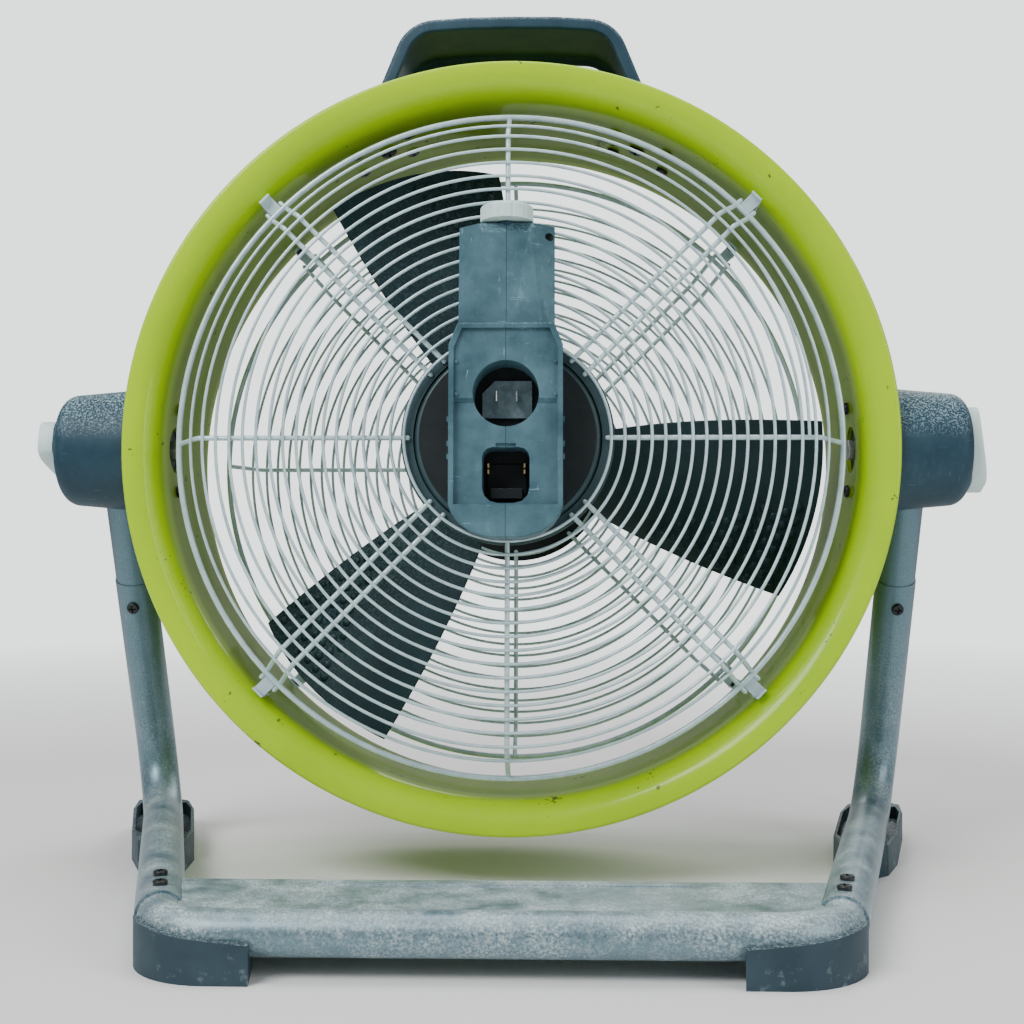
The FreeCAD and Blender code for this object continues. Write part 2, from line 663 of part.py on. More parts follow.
def makeShaft():
    shaft = makeBody("motor_shaft", onHead)
    turned = revolve(shaft, [(0, d.shaft_near), (d.shaft_radius, d.shaft_near),
                             (d.shaft_radius, d.shaft_far), (0, d.shaft_far)])
    chamfer = shaft.newObject("PartDesign::Chamfer", "motor_shaft_ends")
    ends = [i for i, e in enumerate(turned.Shape.Edges) if ringAt(1, (d.shaft_radius, d.shaft_near),
            (d.shaft_radius, d.shaft_far))(e)]
    chamfer.Base = (turned, ["Edge%d" % (i + 1) for i in ends])
    chamfer.Size = 0.8
    rotor = makeBody("motor_rotor", onHead)
    revolve(rotor, [(d.shaft_radius, d.motor_near + 24), (20.4, d.motor_near + 24),
                    (20.4, d.motor_far - 14), (d.shaft_radius, d.motor_far - 14)])
    nut = makeBody("impeller_nut", onHead)
    flats = [(9.0 * math.cos(math.radians(60 * i)), 9.0 * math.sin(math.radians(60 * i))) for i in range(6)]

    def drawNut(sketch):
        drawPolygon(sketch, flats)
        drawCircle(sketch, 0, 0, d.shaft_radius)

    pad(nut, "XZ_Plane", d.hub_far, d.hub_far + 6, drawNut)


def bladeSection(radius, half, pitch, lift):
    # Cambered strip of one blade, square to the radius; lift moves it along the air's way.
    thick = num(d.blade_thick)
    turn = math.radians(pitch)
    along = Vector(0, math.sin(turn), math.cos(turn))
    across = Vector(0, math.cos(turn), -math.sin(turn))
    centre = Vector(radius, lift, 0)
    camber = half * 0.16

    def spot(part, side):
        bow = camber * (1 - part * part)
        return centre + along * (half * part) + across * (side * thick / 2 * (1 - 0.45 * part * part) - bow)

    upper = Part.Arc(spot(-1, 1), spot(0, 1), spot(1, 1)).toShape()
    end = Part.LineSegment(spot(1, 1), spot(1, -1)).toShape()
    lower = Part.Arc(spot(1, -1), spot(0, -1), spot(-1, -1)).toShape()
    start = Part.LineSegment(spot(-1, -1), spot(-1, 1)).toShape()
    return Part.Wire([upper, end, lower, start])


BLADE_PHASE = (109.6, 229.6, 349.6)


def makeImpeller():
    hub = makeBody("impeller_hub", onHead)
    out, near, far = d.hub_out, d.hub_near, d.hub_far
    turned = revolve(hub, [
        (d.shaft_radius, far - 26), (12.0, far - 26), (12.0, far - 6), (out - 3, far - 6),
        (out - 3, near), (out, near), (out, far - 2), (14.0, far), (d.shaft_radius, far)])
    fillet(hub, turned, 9.0, ringAt(1, (out, far - 2)))
    middle = (num(d.blade_lead) + num(d.blade_trail)) / 2
    sections = [bladeSection(50, 34, -50, middle - 18), bladeSection(110, 52, -38, middle - 12),
                bladeSection(170, 63, -30, middle - 5), bladeSection(228, 71, -25.5, middle)]
    blade = Part.makeLoft(sections, True, False)
    rim = Part.makeCylinder(num(d.tip_radius), 200, Vector(0, -40, 0), Vector(0, 1, 0))
    core = Part.makeCylinder(num(d.hub_out) - 1.2, 200, Vector(0, -40, 0), Vector(0, 1, 0))
    blade = blade.common(rim).cut(core)
    blades = []
    for phase in BLADE_PHASE:
        copy = blade.copy()
        copy.rotate(Vector(0, 0, 0), Vector(0, 1, 0), -phase)
        blades.append(copy)
    wings = feature("impeller_blades", Part.Compound(blades), onHead)
    boolean("Fuse", "impeller", hub, wings)


# ---- control housing on the near face ---------------------------------------------

FOOT_CURVE = ((0.3, 0.0), (0.62, 3.3), (0.83, 9.0), (0.95, 15.0), (1.0, 20.0))


def dockSide(half, low, high, cut):
    # Upright housing outline with cut top corners and a round foot.
    right = [(half * share, low + rise) for share, rise in FOOT_CURVE]
    right += [(half, high - cut * 2.4), (half - cut, high)]
    return right + [(x * -1, z) for x, z in reversed(right)]


def panelSide(half, low, high, cut):
    return [(half * -1, low), (half, low), (half, high - cut * 2.4), (half - cut, high),
            (cut - half, high), (half * -1, high - cut * 2.4)]


def roundedBox(half, low, high, top, foot):
    # Upright opening with its corners turned in short flats.
    right = []
    for x, z, radius, start in ((half - foot, low + foot, foot, -90), (half - top, high - top, top, 0)):
        for k in range(4):
            turn = math.radians(start + 30 * k)
            right.append((x + radius * math.cos(turn), z + radius * math.sin(turn)))
    return right + [(x * -1, z) for x, z in reversed(right)]


def boxOutline(half, low, high):
    return [(-half, low), (half, low), (half, high), (-half, high)]


def makeDockBlank():
    body = makeBody("dock_blank", onHead)
    near, far, wall, rim = d.dock_near, d.dock_far, d.shell_wall, d.rim_width
    half, low, high = d.dock_half, d.dock_low, d.dock_top
    outline = pad(body, "XZ_Plane", near, far, polygon(*dockSide(half, low, high, 5.5)))
    fillet(body, outline, 1.0, lambda e: abs(e.BoundBox.YMax - num(near)) < 0.01)
    pad(body, "XZ_Plane", d.tower_near, far, polygon(*boxOutline(d.tower_half, 40.0, d.tower_top)))
    pocket(body, "XZ_Plane", near - 1, near + d.rim_depth,
           polygon(*panelSide(half - rim, d.panel_low, high - rim, 5.0)))
    face = near + d.rim_depth
    deep = face + d.step_deep
    sunk = pocket(body, "XZ_Plane", near, deep,
                  polygon(*boxOutline(half - rim - 0.6, d.panel_low + 0.6, d.step_z)))
    names = ["Edge%d" % (i + 1) for i, e in enumerate(sunk.Shape.Edges)
             if e.BoundBox.ZLength < 0.01 and abs(e.BoundBox.ZMin - num(d.step_z)) < 0.01
             and abs(e.BoundBox.YMin - num(face)) < 0.01 and e.BoundBox.YLength < 0.01]
    slope = body.newObject("PartDesign::Chamfer", "step_slope")
    slope.Base = (sunk, names)
    slope.Size = 2.6
    doc.recompute()
    for z in (22.6, 42.6):
        for side in (-1, 1):
            pad(body, "XZ_Plane", face - 1.2, face + 1, circle(30.2 * side, z, 1.1))
    pocket(body, "XZ_Plane", deep + wall, far + 1,
           polygon(*dockSide(half - wall, low + wall, high - wall, 5.0)))
    tall = d.tower_half - wall
    pocket(body, "XZ_Plane", d.tower_near + wall + 1, far + 1,
           polygon(*boxOutline(tall - 10, 60.0, d.tower_top - 8.5)))
    pocket(body, "XZ_Plane", d.tower_near + wall + 12, far + 1,
           polygon(*boxOutline(tall, 76.0, d.tower_top - wall)))
    pad(body, "XZ_Plane", deep + 0.5, d.well_far, circle(0, d.inlet_z, d.inlet_radius + 2))
    pocket(body, "XZ_Plane", near, d.well_far + 1, circle(0, d.inlet_z, d.inlet_radius))
    tall = d.socket_tall / 2
    sleeve = boxOutline(d.socket_half + 2, d.socket_z - tall - 1.6, d.socket_z + tall + 2)
    pad(body, "XZ_Plane", deep + 0.5, d.well_far, polygon(*sleeve))
    pocket(body, "XZ_Plane", near, d.well_far + 1,
           polygon(*roundedBox(d.socket_half, d.socket_z - tall, d.socket_z + tall, 6.5, 9.5)))
    pocket(body, "XZ_Plane", near, deep + 2, polygon(*boxOutline(6.2, d.socket_z + tall - 1,
                                                                 d.socket_z + tall + 2.4)))
    for side in (-1, 1):
        pocket(body, "XZ_Plane", near + 8, near + 20,
               polygon((side * (half - 1.4), -14.0), (side * (half + 2), -14.0), (side * (half + 2), 12.0),
                       (side * (half - 1.4), 12.0)))
        for low_tooth in (-17.0, -9.0, 6.0):
            pad(body, "XZ_Plane", near + 3, near + 9,
                polygon((side * (half - 1), low_tooth), (side * (half + 1.1), low_tooth),
                        (side * (half + 1.1), low_tooth + 3.0), (side * (half - 1), low_tooth + 3.0)))
    pocket(body, "XZ_Plane", near + 5, d.tower_near + 14, circle(26.5, 124.0, 2.6))
    pocket(body, "XY_Plane", d.tower_top - 12, d.tower_top + 2, circle(0, d.knob_y, 4.4))
    pocket(body, "XY_Plane", d.tower_top - 3, d.tower_top + 2, circle(0, d.knob_y, d.collar_radius))
    return boolean("Cut", "dock_carved", body, feature("tower_tools", towerTools(), onHead))


def towerTools():
    # Cutters for the tower's slanted side facets and for its sloping brow.
    near, top, low = num(d.tower_near), num(d.tower_top), num(d.dock_top)
    planes = []
    for side in (-1, 1):
        start = Vector(side * num(d.facet_top), near, top)
        down = Vector(side * num(d.facet_low), near, low) - start
        back = Vector(side * num(d.tower_half), near + num(d.facet_back), top) - start
        facing = down.cross(back)
        planes.append((start, facing * math.copysign(1, facing.x * side)))
    planes.append((Vector(0, near, top - num(d.brow)), Vector(0, -2.2, 1)))
    limit = Part.makeBox(120, 80, 90, Vector(-60, -140, low + 0.05))
    tools = None
    for start, facing in planes:
        block = Part.makeBox(200, 200, 60, Vector(-100, -100, 0))
        block.Placement = Placement(start, Rotation(Vector(0, 0, 1), facing))
        tool = block.common(limit)
        tools = tools.fuse(tool) if tools else tool
    return tools


def makeDock():
    blank = makeDockBlank()
    for label, side in (("dock_shell_right", 1), ("dock_shell_left", -1)):
        start = num(d.seam) if side > 0 else -60 - num(d.seam)
        half = feature(label + "_side", Part.makeBox(60, 60, 220, Vector(start, -120, -75)), onHead)
        boolean("Common", label, blank, half)


def makeInlet():
    body = makeBody("ac_inlet_block", onHead)
    low, high = d.inlet_z - 12, d.inlet_z + 12
    wide = 15.8
    pad(body, "XZ_Plane", d.well_far + 0.1, d.dock_far - 0.1,
        polygon((-wide, low), (wide, low), (wide, high), (-wide + 8, high), (-wide, high - 8)))
    blades = []
    for side in (-1, 1):
        blade = Part.makeBox(1.6, 15.5, 6.4, Vector(side * 6.35 - 0.8, num(d.well_far) - 15.4,
                                                    num(d.inlet_z) - 3.2))
        tip = [e for e in blade.Edges if abs(e.BoundBox.YMax - (num(d.well_far) - 15.4)) < 0.01
               and e.BoundBox.ZLength > 5]
        blades.append(blade.makeChamfer(0.5, tip))
    feature("inlet_prongs", Part.Compound(blades), onHead)


def makeTerminals():
    body = makeBody("battery_terminal_block", onHead)
    low, high = d.socket_z - 15, d.socket_z + 9
    pad(body, "XZ_Plane", d.well_far + 1, d.dock_far - 0.1, polygon(*boxOutline(12.4, low, high)))
    pad(body, "XZ_Plane", d.well_far - 12, d.well_far + 1,
        polygon(*boxOutline(10.0, d.socket_z - 13.5, d.socket_z - 7)))
    contacts = []
    for side in (-1, 1):
        for row in (2.0, 5.8):
            strip = Part.makeBox(1.0, 13, 2.6, Vector(side * 11.2 - 0.5, num(d.well_far) - 12,
                                                      num(d.socket_z) + row))
            contacts.append(strip)
    feature("battery_contacts", Part.Compound(contacts), onHead)


def makeControls():
    board = makeBody("control_board", onHead)
    pad(board, "XZ_Plane", d.dock_far - 12, d.dock_far - 10.4, polygon(*boxOutline(17.0, 78.0, 112.0)))
    pot = makeBody("speed_potentiometer", onHead)
    pad(pot, "XY_Plane", 114.5, 122.0, circle(0, d.knob_y, d.pot_radius))
    pad(pot, "XY_Plane", 122.0, 128.5, circle(0, d.knob_y, 3.9))
    pocket(pot, "XY_Plane", 119.0, 130.0, circle(0, d.knob_y, 3.3))
    knob = makeBody("speed_knob", onHead)
    low, high, radius = d.knob_low, d.knob_high, d.knob_radius
    body = pad(knob, "XY_Plane", low, high, circle(0, d.knob_y, radius))
    fillet(knob, body, 2.0, ringAt(2, (radius, high)))
    flutes = []
    for i in range(12):
        turn = math.radians(30 * i + 15)
        flutes.append(Part.makeCylinder(1.3, 14, Vector((num(radius) + 0.6) * math.cos(turn),
                      num(d.knob_y) + (num(radius) + 0.6) * math.sin(turn), num(low) - 1)))
    bore = Part.makeCylinder(3.0, 8, Vector(0, num(d.knob_y), num(low) - 1))
    tools = feature("speed_knob_tools", Part.Compound(flutes + [bore]), onHead)
    knob.Label = "speed_knob_blank"
    boolean("Cut", "speed_knob", knob, tools)
    shaft = makeBody("potentiometer_shaft", onHead)
    pad(shaft, "XY_Plane", 119.6, d.knob_low + 7, circle(0, d.knob_y, 3.0))
    collar = makeBody("speed_knob_collar", onHead)

    def drawCollar(sketch):
        drawCircle(sketch, 0, d.knob_y, d.collar_radius)
        drawCircle(sketch, 0, d.knob_y, 4.4)

    pad(collar, "XY_Plane", d.tower_top - 3, d.tower_top + 1.4, drawCollar)
    spots = [(Vector(26.5, num(d.tower_near) + 14, 124.0), Vector(0, -1, 0))]
    screws("dock_screws", spots, onHead, 6.0, head=2.3, high=1.6, shank=1.2)


# ---- stand ------------------------------------------------------------------------

def railPoint(y, side=1):
    run = (num(d.bend_y) - y) * math.tan(math.radians(num(d.rail_toe)))
    return Vector(side * (num(d.leg_x) - run), y, num(d.rail_z))


def legBottom():
    return railPoint(num(d.bend_y))


def makeLegs():
    top = legLine(num(d.leg_x), -num(d.leg_above))
    joint = legLine(num(d.leg_x), num(d.joint_down))
    inside = legLine(num(d.leg_x), num(d.joint_down + d.joint_overlap))
    out, bore = num(d.leg_radius), num(d.leg_bore)
    way = (joint - top).normalize()
    upper = Part.makeCylinder(num(d.leg_upper), (joint - top).Length, top, way)
    upper = upper.fuse(Part.makeCylinder(bore - 0.05, num(d.joint_overlap), joint, way))
    upper = upper.cut(Part.makeCylinder(bore - 1.6, 200, top - way, way))
    upper = upper.cut(Part.makeCylinder(num(d.bolt_hole), 60, Vector(num(d.leg_x) - 30, 0, num(d.pivot_z)),
                                        Vector(1, 0, 0)))
    points = [joint, legBottom(), railPoint(num(d.sleeve_end))]
    lower = rod(points, num(d.bend_radius), out).cut(rod(points, num(d.bend_radius), bore))
    upperTube = feature("leg_upper_blank", upper, onStand)
    lowerTube = feature("leg_lower_blank", lower, onStand)
    holes = drill("leg_holes", inward(legSpots(), 3), d.hole_radius, 9, onStand)
    right = boolean("Cut", "leg_upper_right", upperTube, holes)
    mirrored("leg_upper_left", right)
    right = boolean("Cut", "leg_lower_right", lowerTube, holes)
    mirrored("leg_lower_left", right)


def legSpots():
    # One screw in each leg's joint and two on top of each rail.
    lean = math.radians(num(d.leg_lean))
    facing = Vector(0, -math.cos(lean), -math.sin(lean))
    down = num(d.joint_down) + 17
    spots = [(legLine(num(d.leg_x), down) + facing * num(d.leg_radius), facing)]
    for back in (14.0, 36.0):
        seat = railPoint(num(d.sleeve_end) + back)
        spots.append((seat + Vector(0, 0, num(d.leg_radius)), Vector(0, 0, 1)))
    return spots


def frontPath():
    start = railPoint(num(d.sleeve_end) + 48)
    corner = railPoint(num(d.front_y))
    flip = [Vector(-p.x, p.y, p.z) for p in (corner, start)]
    return [start, corner] + flip


def makeFront():
    points = frontPath()
    bend = num(d.front_bend)
    solid = rod(points, bend, num(d.front_radius)).cut(rod(points, bend, num(d.front_bore)))
    tube = feature("base_front_blank", solid, onStand)
    holes = drill("front_holes", inward(opposite(legSpots()[1:]), 3), d.hole_radius, 9, onStand)
    boolean("Cut", "base_front_tube", tube, holes)
    screws("leg_screws", opposite(legSpots()), onStand, 5.0)


def tubesOutside():
    # The outer volume of the rails and the front tube, as a cutter.
    rails = [rod([legLine(num(d.leg_x), num(d.joint_down)), legBottom(), railPoint(num(d.sleeve_end))],
                 num(d.bend_radius), num(d.leg_radius))]
    rails.append(rails[0].mirror(Vector(0, 0, 0), Vector(1, 0, 0)))
    rails.append(rod(frontPath(), num(d.front_bend), num(d.front_radius)))
    return Part.Compound(rails)


def makeDeck():
    body = makeBody("deck_blank", onStand)
    back, front, top = d.deck_back, d.front_y, d.deck_top
    wide = railPoint(num(back)).x
    thin = railPoint(num(front)).x
    pad(body, "XY_Plane", top - d.deck_thick, top,
        polygon((-wide, back), (wide, back), (thin - 10, front), (-thin + 10, front)))
    pad(body, "XY_Plane", top - 14, top,
        polygon((-wide, back), (wide, back), (wide, back - d.deck_thick), (-wide, back - d.deck_thick)))
    pocket(body, "XY_Plane", top - 0.8, top + 1,
           polygon((-108, back - 10), (108, back - 10), (88, front + 19), (-88, front + 19)))
    boolean("Cut", "base_deck", body, feature("deck_tubes", tubesOutside(), onStand))


def makeFrontFeet():
    body = makeBody("foot_front_blank", onStand)
    edge = d.front_y - d.front_radius - 5
    turns = [math.radians(-90 + 8 * k) for k in range(10)]
    curve = [(150 + 48 * math.cos(t), edge + 48 + 48 * math.sin(t)) for t in turns]
    pad(body, "XY_Plane", 0, d.shoe_high, polygon(
        (127, edge), *curve, (184, edge + 38), (178, edge + 36), (162, edge + 31), (131, edge + 31)))
    pocket(body, "XZ_Plane", edge - 5, edge + 60,
           polygon((120, d.shoe_low), (200, d.shoe_high), (200, d.shoe_high + 9), (120, d.shoe_high + 9)))
    right = boolean("Cut", "foot_front_right", body, feature("foot_front_tubes", tubesOutside(), onStand))
    mirrored("foot_front_left", right)


def makeRearFeet():
    body = makeBody("foot_rear_blank", onStand)

    def side(offset, y):
        return (railPoint(y).x + offset, y)

    corners = [side(-15, -14), side(-6, -22), side(8, -22), side(17, -12), side(22, 20), side(23, 100),
               side(20, 128), side(10, 137), side(-10, 137), side(-20, 128), side(-23, 100), side(-22, 20)]
    block = pad(body, "XY_Plane", 0, d.pad_high, polygon(*corners))
    fillet(body, block, 2.0, lambda e: e.BoundBox.ZLength < 0.01 and e.BoundBox.ZMin > 1)
    inner = [side(-12, 0), side(12, 0), side(19.5, 20), side(20.5, 98), side(17, 118), side(-17, 118),
             side(-20.5, 98), side(-19.5, 20)]
    pocket(body, "XY_Plane", 12.0, d.pad_high + 1, polygon(*inner))
    right = boolean("Cut", "foot_rear_right", body, feature("foot_rear_tubes", tubesOutside(), onStand))
    mirrored("foot_rear_left", right)


NODES = [
    "leg_upper_left", "leg_upper_right", "leg_lower_left", "leg_lower_right", "base_front_tube", "base_deck",
    "foot_front_left", "foot_front_right", "foot_rear_left", "foot_rear_right", "pivot_housing_left",
    "pivot_housing_right", "friction_washer_left", "friction_washer_right", "leg_screws",
    "drum_shell", "handle", "handle_screws", "handle_bolts", "intake_guard", "outlet_guard",
    "outlet_centre_disc", "guard_clips",
    "guard_screws", "pivot_disc_left", "pivot_disc_right", "pivot_bolt_left", "pivot_bolt_right",
    "pivot_screws", "motor_can", "motor_end_cap", "motor_front_plate", "motor_bearings", "motor_stator",
    "stator_coils", "motor_mount_ring", "dock_shell_left", "dock_shell_right", "dock_screws",
    "ac_inlet_block", "inlet_prongs", "battery_terminal_block", "battery_contacts", "control_board",
    "speed_potentiometer", "speed_knob_collar", "impeller", "motor_shaft", "motor_rotor", "impeller_nut",
    "speed_knob", "potentiometer_shaft", "tilt_knob_left", "tilt_knob_right"]


def build():
    makeDrum()
    makeHandle()
    makePivotDisc()
    makePivotBolt()
    screws("pivot_screws", pivotSpots(), onHead, 7.0)
    makeWasher()
    makeHousing()
    makeTiltKnob("tilt_knob_right", 1, 70)
    makeTiltKnob("tilt_knob_left", -1, -13)
    makeGuards()
    makeClips()
    makeMotor()
    makeShaft()
    makeImpeller()
    makeDock()
    makeInlet()
    makeTerminals()
    makeControls()
    makeLegs()
    makeFront()
    makeDeck()
    makeFrontFeet()
    makeRearFeet()
    doc.recompute()


def found(label):
    return [item for item in doc.Objects if item.Label == label][0]


def writeParts():
    bad = [item.Label for item in doc.Objects if "Invalid" in item.State or "Error" in item.State]
    for label in NODES:
        shape = found(label).Shape
        if shape.isNull() or not shape.isValid() or not shape.Solids:
            bad.append(label)
    if bad:
        raise RuntimeError("failed: " + ", ".join(bad))
    os.makedirs("parts", exist_ok=True)
    for label in NODES:
        found(label).Shape.exportStep("parts/%s.step" % label)


build()
writeParts()
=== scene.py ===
import json
import math

import bmesh
import bpy
import numpy as np
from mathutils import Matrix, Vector
from mathutils.bvhtree import BVHTree


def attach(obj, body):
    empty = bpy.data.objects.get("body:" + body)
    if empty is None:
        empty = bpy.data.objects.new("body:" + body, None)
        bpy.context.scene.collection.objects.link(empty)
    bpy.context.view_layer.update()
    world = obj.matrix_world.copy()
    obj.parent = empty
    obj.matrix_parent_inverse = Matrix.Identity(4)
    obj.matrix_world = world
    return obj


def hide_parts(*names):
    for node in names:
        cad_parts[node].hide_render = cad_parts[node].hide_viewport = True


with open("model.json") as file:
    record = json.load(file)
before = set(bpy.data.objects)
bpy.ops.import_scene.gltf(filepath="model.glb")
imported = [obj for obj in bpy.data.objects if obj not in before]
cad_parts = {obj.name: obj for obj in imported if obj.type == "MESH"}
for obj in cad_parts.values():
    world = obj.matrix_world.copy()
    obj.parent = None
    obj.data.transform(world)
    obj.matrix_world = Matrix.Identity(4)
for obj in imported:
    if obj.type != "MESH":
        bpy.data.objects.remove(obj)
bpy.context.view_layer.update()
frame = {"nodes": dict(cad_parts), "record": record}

print("frame loaded:", len(frame["nodes"]), "nodes")

joints = {joint["name"]: joint for joint in frame["record"]["behaviour"]["joints"]}
pivot = np.array(joints["head_tilt"]["pos_m"])
airWay = np.array(joints["impeller_spin"]["axis"])  # the way the air goes, at rest
restTilt = math.atan2(airWay[2], airWay[1])
headAxes = np.array([[1, 0, 0], [0, airWay[1], airWay[2]], [0, -airWay[2], airWay[1]]])


def fromHead(points):
    # Head coordinates (millimetres about the tilt pivot, air along Y) to the row's metres.
    return np.asarray(points, float) / 1000 @ headAxes + pivot


cameraSetup = {"place": (0.031, -1.020, 0.243), "turn": 1.7, "lens": 52.7}


def makeCamera():
    data = bpy.data.cameras.new("camera")
    data.lens = cameraSetup["lens"]
    data.sensor_width = 36
    data.clip_start = 0.02
    camera = bpy.data.objects.new("camera", data)
    x, y, z = cameraSetup["place"]
    camera.location = (x, pivot[1] + y, z)
    camera.rotation_euler = (math.radians(90), 0, math.radians(cameraSetup["turn"]))
    bpy.context.collection.objects.link(camera)
    bpy.context.scene.camera = camera


def makeArea(name, place, target, size, power):
    data = bpy.data.lights.new(name, "AREA")
    data.shape = "RECTANGLE"
    data.size, data.size_y = size
    data.energy = power
    lamp = bpy.data.objects.new(name, data)
    lamp.location = place
    lamp.rotation_euler = (Vector(target) - Vector(place)).to_track_quat("-Z", "Y").to_euler()
    bpy.context.collection.objects.link(lamp)


lightSetup = {"sky": (0.96, 0.99, 1.0), "skyPower": 0.34, "backdrop": 2.1,
              "key": 42, "fill": 13, "top": 16, "rear": 12}


def makeLights():
    world = bpy.data.worlds.new("studio")
    world.use_nodes = True
    nodes = world.node_tree.nodes
    join = world.node_tree.links.new
    both = nodes.new("ShaderNodeMixShader")  # a soft sky for the light, a pale backdrop behind the object
    for slot, power in ((1, lightSetup["skyPower"]), (2, lightSetup["backdrop"])):
        sky = nodes.new("ShaderNodeBackground")
        sky.inputs["Color"].default_value = (*lightSetup["sky"], 1)
        sky.inputs["Strength"].default_value = power
        join(sky.outputs[0], both.inputs[slot])
    join(nodes.new("ShaderNodeLightPath").outputs["Is Camera Ray"], both.inputs[0])
    join(both.outputs[0], nodes["World Output"].inputs["Surface"])
    bpy.context.scene.world = world
    makeArea("key", (-1.1, -1.3, 1.7), (0, 0, 0.25), (1.2, 0.9), lightSetup["key"])
    makeArea("fill", (1.5, -1.0, 0.9), (0, 0, 0.25), (0.9, 1.2), lightSetup["fill"])
    makeArea("top", (0, 0.1, 1.9), (0, 0.05, 0.2), (1.4, 1.0), lightSetup["top"])
    makeArea("rear", (0.6, 1.6, 1.2), (0, 0.1, 0.3), (1.2, 0.8), lightSetup["rear"])


class Link:
    # A shader socket that takes part in Python expressions.
    def __init__(self, finish, socket):
        self.finish = finish
        self.socket = socket

    def maths(self, operation, other, turned=False):
        pair = (other, self) if turned else (self, other)
        return self.finish.node("ShaderNodeMath", {"operation": operation}, dict(enumerate(pair)))

    def __add__(self, other):
        return self.maths("ADD", other)

    def __radd__(self, other):
        return self.maths("ADD", other, True)

    def __sub__(self, other):
        return self.maths("SUBTRACT", other)

    def __rsub__(self, other):
        return self.maths("SUBTRACT", other, True)

    def __mul__(self, other):
        return self.maths("MULTIPLY", other)

    def __rmul__(self, other):
        return self.maths("MULTIPLY", other, True)


class Finish:
    # One material: a Principled shader with the nodes that feed it.
    def __init__(self, name, **fixed):
        self.material = bpy.data.materials.new(name)
        self.material.use_nodes = True
        self.tree = self.material.node_tree
        self.shader = self.tree.nodes["Principled BSDF"]
        for socket, value in fixed.items():
            self.set(self.shader.inputs[self.socketNames[socket]], value)

    socketNames = {"colour": "Base Color", "roughness": "Roughness", "metallic": "Metallic",
                   "coat": "Coat Weight", "coatRoughness": "Coat Roughness", "bump": "Normal",
                   "specular": "Specular IOR Level", "alpha": "Alpha"}

    def set(self, socket, value):
        if isinstance(value, Link):
            self.tree.links.new(value.socket, socket)
        elif isinstance(value, tuple) and len(value) == 3 and socket.type == "RGBA":
            socket.default_value = (*value, 1)
        else:
            socket.default_value = value

    def node(self, kind, settings=None, values=None, out=0):
        made = self.tree.nodes.new(kind)
        for name, value in (settings or {}).items():
            if name == "stops":
                self.setStops(made.color_ramp, value)
            else:
                setattr(made, name, value)
        for name, value in (values or {}).items():
            self.set(made.inputs[name], value)
        return Link(self, made.outputs[out])

    def setStops(self, ramp, stops):
        while len(ramp.elements) < len(stops):
            ramp.elements.new(0.5)
        for element, (place, value) in zip(ramp.elements, stops):
            element.position = place
            element.color = (value, value, value, 1)

    def feed(self, **links):
        for name, value in links.items():
            self.set(self.shader.inputs[self.socketNames[name]], value)
        return self.material

    def coords(self):
        return self.node("ShaderNodeTexCoord", out="Object")

    def headCoords(self):
        # Metres about the tilt pivot with the air along Y.
        return self.node("ShaderNodeMapping", {"vector_type": "TEXTURE"},
                         {"Vector": self.coords(), "Location": tuple(pivot), "Rotation": (restTilt, 0, 0)})

    def axis(self, vector, which):
        return self.node("ShaderNodeSeparateXYZ", None, {"Vector": vector}, out=which)

    def noise(self, vector, scale, detail=3.0, rough=0.55, stretch=None):
        if stretch:
            vector = self.node("ShaderNodeMapping", None, {"Vector": vector, "Scale": stretch})
        return self.node("ShaderNodeTexNoise", None,
                         {"Vector": vector, "Scale": scale, "Detail": detail, "Roughness": rough}, out="Fac")

    def ramp(self, value, *stops):
        return self.node("ShaderNodeValToRGB", {"stops": stops}, {"Fac": value})

    def mix(self, mask, first, second):
        made = self.tree.nodes.new("ShaderNodeMix")
        made.data_type = "RGBA"
        self.set(made.inputs[0], mask)
        self.set(made.inputs[6], first)
        self.set(made.inputs[7], second)
        return Link(self, made.outputs[2])

    def bump(self, height, distance, strength=1.0):
        return self.node("ShaderNodeBump", None,
                         {"Height": height, "Distance": distance, "Strength": strength})

    def upward(self):
        # 1 where the surface faces up at rest, 0 where it is upright or faces down.
        normal = self.node("ShaderNodeTexCoord", out="Normal")
        return self.ramp(self.axis(normal, "Z"), (0.15, 0.0), (0.9, 1.0))


